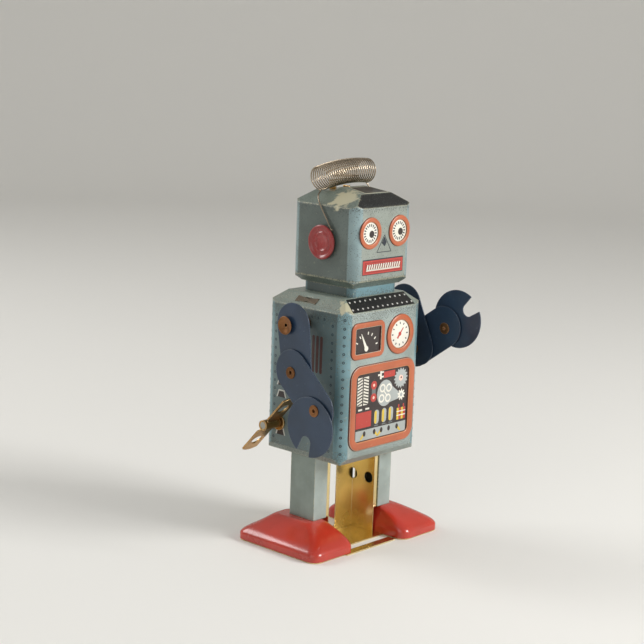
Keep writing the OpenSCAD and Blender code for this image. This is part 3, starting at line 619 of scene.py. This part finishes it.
def wire(path, radius, sides=10):
    """A round wire: each ring stands square to the path, turned as little as possible from the last."""
    heading = np.gradient(path, axis=0)
    heading /= np.linalg.norm(heading, axis=1)[:, None]
    side = np.cross(heading[0], (0.3, 0.2, 1.0))
    side /= np.linalg.norm(side)
    sides_along = [side]
    for t in heading[1:]:
        side = side - t * np.dot(side, t)
        side /= np.linalg.norm(side)
        sides_along.append(side)
    u = np.array(sides_along)
    v = np.cross(heading, u)
    a = np.linspace(0, 2 * np.pi, sides, endpoint=False)
    rings = path[:, None, :] + radius * (np.cos(a)[None, :, None] * u[:, None, :]
                                         + np.sin(a)[None, :, None] * v[:, None, :])
    faces = ring_faces(len(path), sides)
    faces += [tuple(range(sides - 1, -1, -1)), tuple((len(path) - 1) * sides + i for i in range(sides))]
    return rings.reshape(-1, 3), faces


def aerial_path(size):
    """A helix about a low arch, with a lead at each end that runs down beside the head to an ear."""
    high = node_box("coil_aerial")[1]
    wire_r = size.wire / 2
    turn_r = size.coil / 2 - wire_r
    turns, half, peak, bend, y = 23, 17.2, 0.72, 5.8, 4.6
    middle_z = high[2] - wire_r - turn_r
    u = np.linspace(0, 1, turns * 36 + 1)
    a = 1.5 * np.pi + 2 * np.pi * turns * u
    lean = np.arctan(-bend * (u - peak) / half)
    helix = np.stack([half * (2 * u - 1) - turn_r * np.sin(lean) * np.sin(a), y + turn_r * np.cos(a),
                      middle_z - bend * (u - peak) ** 2 + turn_r * np.cos(lean) * np.sin(a)], 1)
    lead = np.array([(-21.6, -9.6, 158.6), (-22.3, -8.8, 158.9), (-21.75, -5.0, 163.6),
                     (-21.7, -0.6, 169.8), (-19.6, 2.6, 173.6)])
    start = smooth_route(np.concatenate([lead, helix[:1]]))[:-1]
    end = smooth_route(np.concatenate([helix[-1:], (lead * (-1, 1, 1))[::-1]]))[1:]
    return np.concatenate([start, helix, end]), wire_r


# ---- the feet ----

def eased(stations, passes=4):
    """Cuts every corner of a chain of stations a quarter and three quarters of the way along its sides."""
    for _ in range(passes):
        a, b = stations[:-1], stations[1:]
        cut = np.stack([0.75 * a + 0.25 * b, 0.25 * a + 0.75 * b], 1).reshape(-1, stations.shape[1])
        stations = np.concatenate([stations[:1], cut, stations[-1:]])
    return stations


def foot_mesh(side):
    """A loft of rounded rectangles: an upright rim, an instep that swells over the toe, a flat top.

    Each station holds height, inner and outer side, toe, heel and corner radius; corners between
    stations are eased, so every section stays inside the straight-sided form.
    """
    low, high = node_box(side + "_foot")
    s = 1 if side == "left" else -1
    near, far = (low[0], high[0]) if s > 0 else (-high[0], -low[0])
    y = (low[1] + high[1]) / 2
    half = (high[1] - low[1]) / 2
    rim = low[2] + FOOT_RIM
    corners = np.array([
        (low[2], near, far, y - half, y + half, 5.0),
        (low[2] + 0.8, near, far, y - half, y + half, 5.0),
        (rim, near, far, y - half, y + half, 5.0),
        (9.6, near + 1.8, far - 7.3, y - 20.4, y + 20.0, 4.4),
        (high[2], near + 3.2, far - 14.1, y - 9.8, y + 15.6, 3.6),
        (high[2], near + 5.2, far - 16.1, y - 7.8, y + 13.6, 2.6),
    ])
    rings = []
    for z, x0, x1, y0, y1, r in eased(corners):
        outline = rounded((s * (x0 + x1) / 2, (y0 + y1) / 2), x1 - x0, y1 - y0, r, 14)
        rings.append(np.column_stack([outline, np.full(len(outline), z)]))
    around = len(rings[0])
    faces = ring_faces(len(rings), around)
    faces += [tuple(range(around - 1, -1, -1)), tuple((len(rings) - 1) * around + i for i in range(around))]
    return np.concatenate(rings), faces


def rolled_edge(side):
    """The foot's pressed rim: a small round bead carried round the sole."""
    low, high = node_box(side + "_foot")
    middle = (low + high) / 2
    a = np.linspace(0, 2 * np.pi, 10, endpoint=False)
    rings = []
    for angle in a:
        grow = BEAD * math.cos(angle)
        outline = rounded((middle[0], middle[1]), high[0] - low[0] - 1.2 + 2 * grow,
                          high[1] - low[1] - 1.2 + 2 * grow, 5.9 + grow, 12)
        rings.append(np.column_stack([outline, np.full(len(outline), 0.75 + BEAD * math.sin(angle))]))
    return np.concatenate(rings), ring_faces(len(rings), len(rings[0]), closed=True)


# ---- the print on the chest ----

def draw_square_gauge(art):
    """A black dial with a fan of ticks, and a tapered needle on its pivot."""
    ink = partial(art.patch, CHEST)
    ink(rounded(GAUGE, 19.2, 14.2, 1.6), "field", 1)
    pivot = np.array((-12.9, 102.3))
    for degrees in (14, 38, 60, 82, 128, 154):
        ray = np.array((math.cos(math.radians(degrees)), math.sin(math.radians(degrees))))
        ink(stroke(pivot + 6.9 * ray, pivot + 8.3 * ray, 0.65), "white", 2)
    ink(stroke(pivot, (-16.7, 109.9), 1.9, 0.35), "white", 3)
    ink(circle(pivot, 1.35, 20), "white", 4)


def draw_round_gauge(art):
    """A white dial with twelve ticks and a red needle."""
    ink = partial(art.patch, CHEST)
    hub = np.array(DIAL)
    ink(circle(hub, 7.3, 48), "white", 1)
    for k in range(12):
        ray = np.array((math.cos(k * math.pi / 6), math.sin(k * math.pi / 6)))
        ink(stroke(hub + 4.9 * ray, hub + 5.9 * ray, 0.62), "ink", 2)
    ink(stroke(hub + (-1.7, -2.1), hub + (2.5, 2.9), 1.2, 0.5), "red", 3)
    ink(circle(hub, 1.05, 16), "red", 4)


def draw_machine(art):
    """The printed machinery inside the big chest frame."""
    ink = partial(art.patch, CHEST)
    ink(rounded((0.4, 72.9), 39.6, 35.2, 2.6), "field", 1)
    for x in (-16.2, -11.8):
        lean = 0.55 if x < -14 else -0.55
        ink(rect(x - 1.8, 74.3, x + 1.8, 88.3), "white", 2)
        for k in range(9):
            z = 75.1 + k * 1.52
            ink(stroke((x - 1.7, z - lean), (x + 1.7, z + lean), 0.62), "field", 3)
    for x in (-15.6, -10.4):
        ink(rect(x - 1.4, 71.8, x + 1.4, 72.7), "white", 2)
    ink(rect(-18.5, 63.0, -7.3, 70.9), "red", 2)
    ink(rect(-7.5, 77.6, -4.7, 82.8), "grey_dark", 2)
    for z in (77.1, 83.3):
        ink(circle((-6.1, z), 2.15, 24), "red", 3)
        ink(circle((-6.1, z), 0.75, 14), "lamp", 4)
    taper = np.array([(2.6, 84.7), (8.2, 80.6), (12.9, 77.2), (12.9, 73.9), (6.2, 73.0), (2.2, 71.7)])
    ink(taper, "grey", 2)
    ink(oval((2.4, 78.2), 5.9, 6.6), "grey", 3)
    for x, z in ((0.4, 80.9), (5.1, 80.5), (-0.1, 75.8), (4.6, 75.4)):
        art.band(CHEST, circle((x, z), 2.15, 22), circle((x, z), 1.3, 22), "white", 4)
    ink(stroke((0.9, 79.9), (4.1, 76.4), 0.55), "white", 4.5)
    ink(cog((14.0, 84.2), 5.1, 16, 0.9), "grey", 2)
    ink(circle((14.0, 84.2), 1.5, 18), "lamp", 3)
    ink(circle((14.2, 84.4), 0.5, 10), "black", 4)
    ink(cog((14.7, 75.6), 2.9, 9, 1.0), "white", 4)
    ink(circle((14.7, 75.6), 1.0, 14), "grey", 5)
    ink(rect(1.0, 85.9, 9.4, 89.0), "red", 2)
    ink(rect(-1.9, 85.6, -0.6, 90.0), "white", 2)
    for z in (86.3, 88.6):
        ink(rect(-0.6, z, 0.9, z + 0.8), "white", 2)
    ink(rect(-3.4, 87.4, -1.9, 88.3), "white", 2)
    for x in (-3.3, 2.3, 7.4):
        ink(capsule(x, 63.4, 70.6, 3.5), "grey", 2)
        ink(capsule(x - 0.75, 63.7, 70.2, 1.6), "yellow", 3)
        ink(rect(x - 1.4, 62.4, x + 1.4, 63.0), "grey_dark", 2)
    for k, x in enumerate((11.9, 13.5, 15.2, 16.8)):
        ink(rect(x, 63.0, x + 1.5, 69.0), "red" if k % 2 else "yellow", 2)
    for z in (64.9, 66.9):
        ink(rect(11.8, z, 18.4, z + 0.5), "white", 3)
    for x in (13.3, 16.9):
        ink(rect(x - 0.45, 69.2, x + 0.45, 70.8), "red", 2)
    ink(rect(-18.4, 56.6, 18.9, 61.8), "grey", 2)
    for x, lean in ((-12.0, -1), (-4.6, 1), (0.6, -1), (6.2, 0), (12.3, 1)):
        if lean:
            ink(stroke((x - 0.4 * lean, 60.4), (x + 2.6 * lean, 57.3), 1.5, 0.9), "yellow", 3)
        ink(oval((x, 59.8), 0.95, 1.35, 18), "field", 4)


def draw_shoulder(art):
    """The black front bevel of the shoulders with its two rows of bright studs."""
    length = math.hypot(SHOULDER_IN, SHOULDER_DROP)
    art.patch(SHOULDER, np.array([(-22.8, 0.5), (22.8, 0.5), (21.2, length - 0.4), (-21.2, length - 0.4)]),
              "black", 1)
    for row, (v, half) in enumerate(((2.3, 21.6), (6.9, 20.2))):
        for x in np.linspace(-half, half, 13 - row):
            art.patch(SHOULDER, circle((x, v), 0.5, 12), "silver", 5)


def draw_sides(art):
    """Printed rivets, louvres and hat-shaped marks, the same on both sides of the body."""
    for face, out in ((RIGHT_SIDE, 1), (LEFT_SIDE, -1)):
        for k in range(16):
            z = 52.4 + k * DOT_PITCH
            for along in (18.1 * out, -19.4 * out):
                art.band(face, circle((along, z), 0.72, 12), circle((along, z), 0.26, 12), "rivet", 1)
        for along in np.arange(-16.0, 14.0, DOT_PITCH):
            art.band(face, circle((along * out, 116.4), 0.62, 12), circle((along * out, 116.4), 0.26, 12),
                     "rivet", 1)
        for k in range(3):
            x = (5.9 + k * 2.6) * out
            art.patch(face, rounded((x, 98.6), 1.7, 18.4, 0.8, 4), "stripe", 1)
        for z in (87.0, 81.0, 75.0, 55.9):
            hat = np.array([(-3.4, -1.9), (3.4, -1.9), (2.0, 1.9), (-2.0, 1.9)]) + (-14.6 * out, z)
            small = np.array([(-2.6, -1.9), (2.6, -1.9), (1.5, 1.2), (-1.5, 1.2)]) + (-14.6 * out, z)
            art.patch(face, hat, "silver", 1)
            art.patch(face, small, "field", 2)
    for sx, sy in ((-1, -1), (1, -1), (1, 1), (-1, 1)):
        out = np.array((sx, sy, 0)) / math.sqrt(2)
        spot = (sx * (HALF_W - CORNER_R), sy * (HALF_D - CORNER_R), 0) + CORNER_R * out
        face = Face(spot, np.cross((0, 0, 1), out), (0, 0, 1))
        for k in range(17):
            ring = (0, 51.8 + k * DOT_PITCH)
            art.band(face, circle(ring, 0.72, 12), circle(ring, 0.26, 12), "rivet", 1.5)
    for x in (-24.7, 24.7):
        for k in range(16):
            ring = (x - np.sign(x) * 1.4, 52.4 + k * DOT_PITCH)
            art.band(BACK, circle(ring, 0.6, 12), circle(ring, 0.26, 12), "rivet", 1)


def draw_head(art):
    """Eyes, nose, mouth, and the black lid printed on the crown, with a cream outline as a painted
    highlight along the lid's rim.
    """
    ink = partial(art.patch, FACE)
    for s in (-1, 1):
        hub = np.array((s * EYE_APART, HEAD_TOP - EYE_DROP))
        look = hub + (1.1, -0.5)
        ink(circle(hub, 5.9, 48), "white", 1)
        for k in range(18):
            ray = np.array((math.cos(k * math.pi / 9), math.sin(k * math.pi / 9)))
            ink(stroke(hub + 3.1 * ray, hub + 4.5 * ray, 0.42, 0.8), "ink", 2)
        ink(circle(look, 1.75, 24), "field", 3)
    apex, left, right = np.array((0.0, 156.2)), np.array((-5.2, 148.0)), np.array((5.2, 148.0))
    for a, b in ((apex, left), (apex, right), (left, right)):
        ink(stroke(a, b, 0.34), "ink", 2)
    ink(np.array([(0.0, 155.3), (-1.9, 152.4), (0.4, 150.6), (1.7, 152.6)]), "ink", 3)
    ink(rect(-15.2, 137.5, 14.4, 145.0), "ink", 1)
    ink(rect(-14.9, 137.8, 14.1, 144.4), "red", 2)
    ink(rect(-13.4, 138.6, 12.9, 143.5), "red_dark", 3)
    ink(rect(-13.1, 138.9, 12.6, 143.2), "red", 4)
    ink(rect(-12.7, 139.4, 12.2, 142.6), "red_dark", 5)
    ink(rect(-12.6, 139.4, 12.1, 140.1), "white", 6)
    for x in np.linspace(-12.1, 11.2, 15):
        ink(stroke((x, 139.8), (x + 0.7, 142.5), 0.8), "white", 6)
    lid = np.array([(-6.6, 0.8), (10.2, 0.8), (8.4, 12.7), (-6.0, 12.7)])
    inset = np.array([(-6.1, 1.3), (9.6, 1.3), (8.0, 12.3), (-5.5, 12.3)])
    # the cream rim left round the black inset is a painted highlight along the lid's edge
    art.patch(CROWN, lid, "cream", 1)
    art.patch(CROWN, inset, "black", 2)


# ---- sizes and colours that a user would change ----

def colour_setting(name, description, code):
    """A colour property whose default is a six-digit colour code."""
    return FloatVectorProperty(name=name, description=description, subtype="COLOR",
                               default=linear(code)[:3], min=0, max=1)


class TinRobotSettings(bpy.types.PropertyGroup):
    """Colours of the print and the sizes of the softer pieces."""
    front: colour_setting("Front", "Print colour of the front faces", "9DA9A5")
    # the side colour is darker than the front partly as painted shade; the corner colour is a painted
    # highlight on the rounded corners
    side: colour_setting("Side", "Print colour of the side faces", "6A7D7F")
    corner: colour_setting("Corner highlight", "Print colour of the rounded corners", "73969E")
    arm: colour_setting("Arms", "Colour of the arm plates", "263A53")
    foot: colour_setting("Feet", "Colour of the lacquered feet", "BE3626")
    coil: FloatProperty(name="Coil diameter", description="Outer diameter of the coil, in mm", default=12.3,
                        min=8)
    wire: FloatProperty(name="Wire diameter", description="Diameter of the coil's wire, in mm", default=0.7,
                        min=0.4)


class TINROBOT_OT_finishes(bpy.types.Operator):
    """Build every finish and put it on the CAD nodes"""
    bl_idname = "tinrobot.finishes"
    bl_label = "Finishes"

    def execute(self, context):
        build_finishes(context.scene.tin_robot)
        for part in frame["record"]["subparts"]:
            mesh = frame["nodes"][part["node"]].data
            mesh.materials.clear()
            mesh.materials.append(bpy.data.materials[SLOT_FINISH[part["material_slot"]]])
        return {"FINISHED"}


class TINROBOT_OT_chest(bpy.types.Operator):
    """Raised frames, dials and printed machinery of the chest"""
    bl_idname = "tinrobot.chest"
    bl_label = "Chest"

    def execute(self, context):
        art = Print()
        draw_square_gauge(art)
        draw_round_gauge(art)
        draw_machine(art)
        draw_shoulder(art)
        art.piece("chest_print", "litho ink", "case", "body_print")
        panel = [rounded((0.2, 73.1), 47.8 - 2 * o, 42.3 - 2 * o,
                         max(6.8 - o, 2.0)) for o in rim_steps(4.5)]
        square = [rounded((-12.1, 106.5), 23.8 - 2 * o, 18.0 - 2 * o,
                          max(3.6 - o, 1.0)) for o in rim_steps(2.9)]
        dial = [circle(DIAL, 10.05 - o, 64) for o in rim_steps(3.1)]
        for name, outlines in (("chest_frame", panel), ("square_bezel", square), ("round_bezel", dial)):
            frame_piece(name, CHEST, outlines, 0.95)
        return {"FINISHED"}


class TINROBOT_OT_sides(bpy.types.Operator):
    """Printed rivets and marks on the sides, corners and back"""
    bl_idname = "tinrobot.sides"
    bl_label = "Sides"

    def execute(self, context):
        art = Print()
        draw_sides(art)
        art.piece("side_print", "litho ink", "case", "body_print")
        return {"FINISHED"}


class TINROBOT_OT_head(bpy.types.Operator):
    """Face print and the rolled rings round the eyes"""
    bl_idname = "tinrobot.head"
    bl_label = "Head"

    def execute(self, context):
        art = Print()
        draw_head(art)
        art.piece("face_print", "litho ink", "case", "head_print")
        for s, side in ((-1, "right"), (1, "left")):
            hub = (s * EYE_APART, HEAD_TOP - EYE_DROP)
            outlines = [circle(hub, 7.7 - o, 56) for o in rim_steps(2.4)]
            frame_piece(side + "_eye_ring", FACE, outlines, 0.85)
        return {"FINISHED"}


class TINROBOT_OT_ears(bpy.types.Operator):
    """Dished, lacquered ear discs"""
    bl_idname = "tinrobot.ears"
    bl_label = "Ears"

    def execute(self, context):
        for s, side in ((-1, "right"), (1, "left")):
            low, high = node_box(side + "_ear")
            centre = (low + high) / 2
            radius = (high[1] - low[1]) / 2
            centre[0] = s * HEAD_HALF
            bead = [(radius - 0.75 + 0.75 * math.sin(a), 1.75 + 0.75 * math.cos(a))
                    for a in np.linspace(np.pi * 0.95, -0.35 * np.pi, 14)]
            dish = [(radius - 2.1, 1.72), (5.4, 1.5), (4.95, 1.55), (4.75, 1.85), (4.5, 2.05), (4.2, 2.05),
                    (3.95, 1.85), (3.7, 1.6), (2.0, 1.52), (0, 1.5)]
            profile = [(0, 0.15), (3.6, 0.15), (radius - 1.6, 0.9)] + bead + dish
            points, faces = turned(centre, (s, 0, 0), profile)
            finish_piece(side + "_ear_disc", points, faces, "ear lacquer", "case", smooth=50,
                         replaces=(side + "_ear",))
        return {"FINISHED"}


def eyelet_profile(length):
    """A tube with a thin rolled head at each end, the outer one turned in to its hole like a trumpet."""
    a = np.linspace(0, np.pi / 2, 6)
    edge = np.stack([2.65 + 0.25 * np.cos(a), length - 0.25 + 0.25 * np.sin(a)], 1)
    mouth = np.stack([0.85 + 0.75 * (1 - np.sin(a)), length - 0.4 * (1 - np.cos(a))], 1)
    return np.concatenate([[(0.85, 0.0), (2.75, 0.0), (2.9, 0.15), (2.9, 0.45), (1.5, 0.45),
                            (1.5, length - 0.45), (2.9, length - 0.45)], edge, mouth])


def post_profile(inner, outer):
    """A stepped spacer whose outer end spreads into a dished cup; the cup's corners are eased."""
    stem = [(0.9, inner), (4.0, inner), (4.0, inner + 1.0), (2.2, inner + 1.0), (2.2, inner + 1.5),
            (3.4, inner + 1.5), (3.4, outer - 2.7), (2.2, outer - 2.7)]
    cup = np.array([(2.2, outer - 1.9), (2.6, outer - 1.9), (4.6, outer - 0.4), (4.2, outer),
                    (1.6, outer - 1.1), (0.9, outer - 1.1)])
    return np.concatenate([stem, eased(cup, 3)])


class TINROBOT_OT_rivets(bpy.types.Operator):
    """Eyelets at the elbows and wrists, and the dished shoulder posts"""
    bl_idname = "tinrobot.rivets"
    bl_label = "Rivets"

    def execute(self, context):
        for s, side in ((-1, "right"), (1, "left")):
            for node, body in (("elbow_rivet", side + "_upper"), ("wrist_rivet", side + "_fore"),
                               ("shoulder_post", "case")):
                low, high = node_box(side + "_" + node)
                inner, outer = sorted((abs(low[0]), abs(high[0])))
                centre = np.array((0, (low[1] + high[1]) / 2, (low[2] + high[2]) / 2))
                if node == "shoulder_post":
                    profile = post_profile(inner, outer)
                else:
                    profile = eyelet_profile(outer - inner)
                    centre[0] = s * inner
                points, faces = turned(centre, (s, 0, 0), profile, 48, bored=True)
                finish_piece(side + "_" + node + "_turned", points, faces, "dull copper", body,
                             smooth=40, replaces=(side + "_" + node,))
        return {"FINISHED"}


class TINROBOT_OT_aerial(bpy.types.Operator):
    """The coil and its two leads as one round wire"""
    bl_idname = "tinrobot.aerial"
    bl_label = "Aerial"

    def execute(self, context):
        path, radius = aerial_path(context.scene.tin_robot)
        points, faces = wire(path, radius)
        finish_piece("aerial_wire", points, faces, "spring wire", "case", smooth=60,
                     replaces=("coil_aerial",))
        return {"FINISHED"}


class TINROBOT_OT_feet(bpy.types.Operator):
    """Soft lacquered feet with a rolled rim"""
    bl_idname = "tinrobot.feet"
    bl_label = "Feet"

    def execute(self, context):
        for side in ("right", "left"):
            points, faces = foot_mesh(side)
            finish_piece(side + "_foot_shell", points, faces, "red lacquer", side + "_leg",
                         smooth=40, replaces=(side + "_foot",))
            points, faces = rolled_edge(side)
            finish_piece(side + "_foot_rim", points, faces, "ear lacquer", side + "_leg",
                         smooth=60)
        return {"FINISHED"}


class TINROBOT_OT_plates(bpy.types.Operator):
    """Arm plates, key and tabs with their sharp edges rounded"""
    bl_idname = "tinrobot.plates"
    bl_label = "Plates"

    def execute(self, context):
        for side in ("right", "left"):
            for part in ("upper_arm", "forearm", "hand"):
                softened(side + "_" + part, 0.16)
        softened("winding_key", 0.2)
        softened("shoulder_tabs", 0.1)
        return {"FINISHED"}


class TINROBOT_OT_stage(bpy.types.Operator):
    """Pale floor, soft lights and the camera"""
    bl_idname = "tinrobot.stage"
    bl_label = "Stage"

    def execute(self, context):
        floor_material = bpy.data.materials.new("floor")
        floor_material.use_nodes = True
        shader = floor_material.node_tree.nodes["Principled BSDF"]
        shader.inputs["Base Color"].default_value = linear("EAE8E3")
        shader.inputs["Roughness"].default_value = 0.75
        t = np.linspace(0, np.pi / 2, 16)
        bend = np.stack([1.5 + 0.7 * np.sin(t), 0.7 * (1 - np.cos(t))], 1)
        profile = np.concatenate([[(0.0, 0.0)], [(0.6, 0.0)], bend, [(2.2, 1.6), (2.2, 2.6)]])
        a = np.linspace(0, 2 * np.pi, 96, endpoint=False)
        rings = np.stack([np.outer(profile[1:, 0], np.cos(a)), np.outer(profile[1:, 0], np.sin(a)),
                          np.repeat(profile[1:, 1:], 96, axis=1)], -1).reshape(-1, 3)
        faces = [f[::-1] for f in ring_faces(len(profile) - 1, 96)] + [tuple(range(96))]
        mesh = bpy.data.meshes.new("floor")
        mesh.from_pydata(rings.tolist(), [], faces)
        mesh.shade_smooth()
        mesh.materials.append(floor_material)
        floor = bpy.data.objects.new("floor", mesh)
        context.scene.collection.objects.link(floor)
        world = bpy.data.worlds.new("studio")
        world.use_nodes = True
        world.node_tree.nodes["Background"].inputs[0].default_value = linear("E6E8EA")
        world.node_tree.nodes["Background"].inputs[1].default_value = 0.5
        context.scene.world = world
        context.scene.view_settings.view_transform = "Standard"
        target = Vector(TARGET)
        for name, place, power, size in (("key", (0.45, -1.05, 0.65), 14.0, 0.45),
                                         ("fill", (-1.1, -0.35, 0.6), 2.4, 0.9),
                                         ("rim", (-0.45, 0.95, 0.75), 5.0, 0.5)):
            light = bpy.data.lights.new(name, "AREA")
            light.energy = power
            light.size = size
            lamp = bpy.data.objects.new(name, light)
            context.scene.collection.objects.link(lamp)
            lamp.location = place
            lamp.rotation_euler = (target - Vector(place)).to_track_quat("-Z", "Y").to_euler()
        camera_data = bpy.data.cameras.new("camera")
        camera_data.lens = CAMERA_LENS
        camera_data.sensor_width = 36
        camera_data.shift_x, camera_data.shift_y = CAMERA_SHIFT
        camera = bpy.data.objects.new("camera", camera_data)
        context.scene.collection.objects.link(camera)
        place = Vector(CAMERA_PLACE)
        level = (target - place).to_track_quat("-Z", "Y").to_matrix().to_4x4()
        roll = Matrix.Rotation(math.radians(CAMERA_ROLL), 4, "Z")
        camera.matrix_world = Matrix.Translation(place) @ level @ roll
        context.scene.camera = camera
        return {"FINISHED"}


class TINROBOT_PT_panel(bpy.types.Panel):
    """Lists the robot's colours, sizes and steps"""
    bl_label = "Tin Robot"
    bl_idname = "TINROBOT_PT_panel"
    bl_space_type = "VIEW_3D"
    bl_region_type = "UI"
    bl_category = "Tin Robot"

    def draw(self, context):
        for name in TinRobotSettings.__annotations__:
            self.layout.prop(context.scene.tin_robot, name)
        for step in STEPS:
            self.layout.operator(step.bl_idname)


STEPS = (TINROBOT_OT_stage, TINROBOT_OT_finishes, TINROBOT_OT_chest, TINROBOT_OT_sides, TINROBOT_OT_head,
         TINROBOT_OT_ears, TINROBOT_OT_rivets, TINROBOT_OT_aerial, TINROBOT_OT_feet, TINROBOT_OT_plates)


def register():
    """Adds the classes, and the settings to every scene."""
    for item in (TinRobotSettings,) + STEPS + (TINROBOT_PT_panel,):
        bpy.utils.register_class(item)
    bpy.types.Scene.tin_robot = PointerProperty(type=TinRobotSettings)


def unregister():
    """Takes them away again, in the opposite order."""
    del bpy.types.Scene.tin_robot
    for item in (TINROBOT_PT_panel,) + STEPS[::-1] + (TinRobotSettings,):
        bpy.utils.unregister_class(item)


def main():
    """Runs every step in order."""
    register()
    for step in STEPS:
        family, action = step.bl_idname.split(".")
        result = getattr(getattr(bpy.ops, family), action)()
        if result != {"FINISHED"}:
            raise RuntimeError(step.bl_label + " did not finish")


if __name__ == "__main__":
    main()
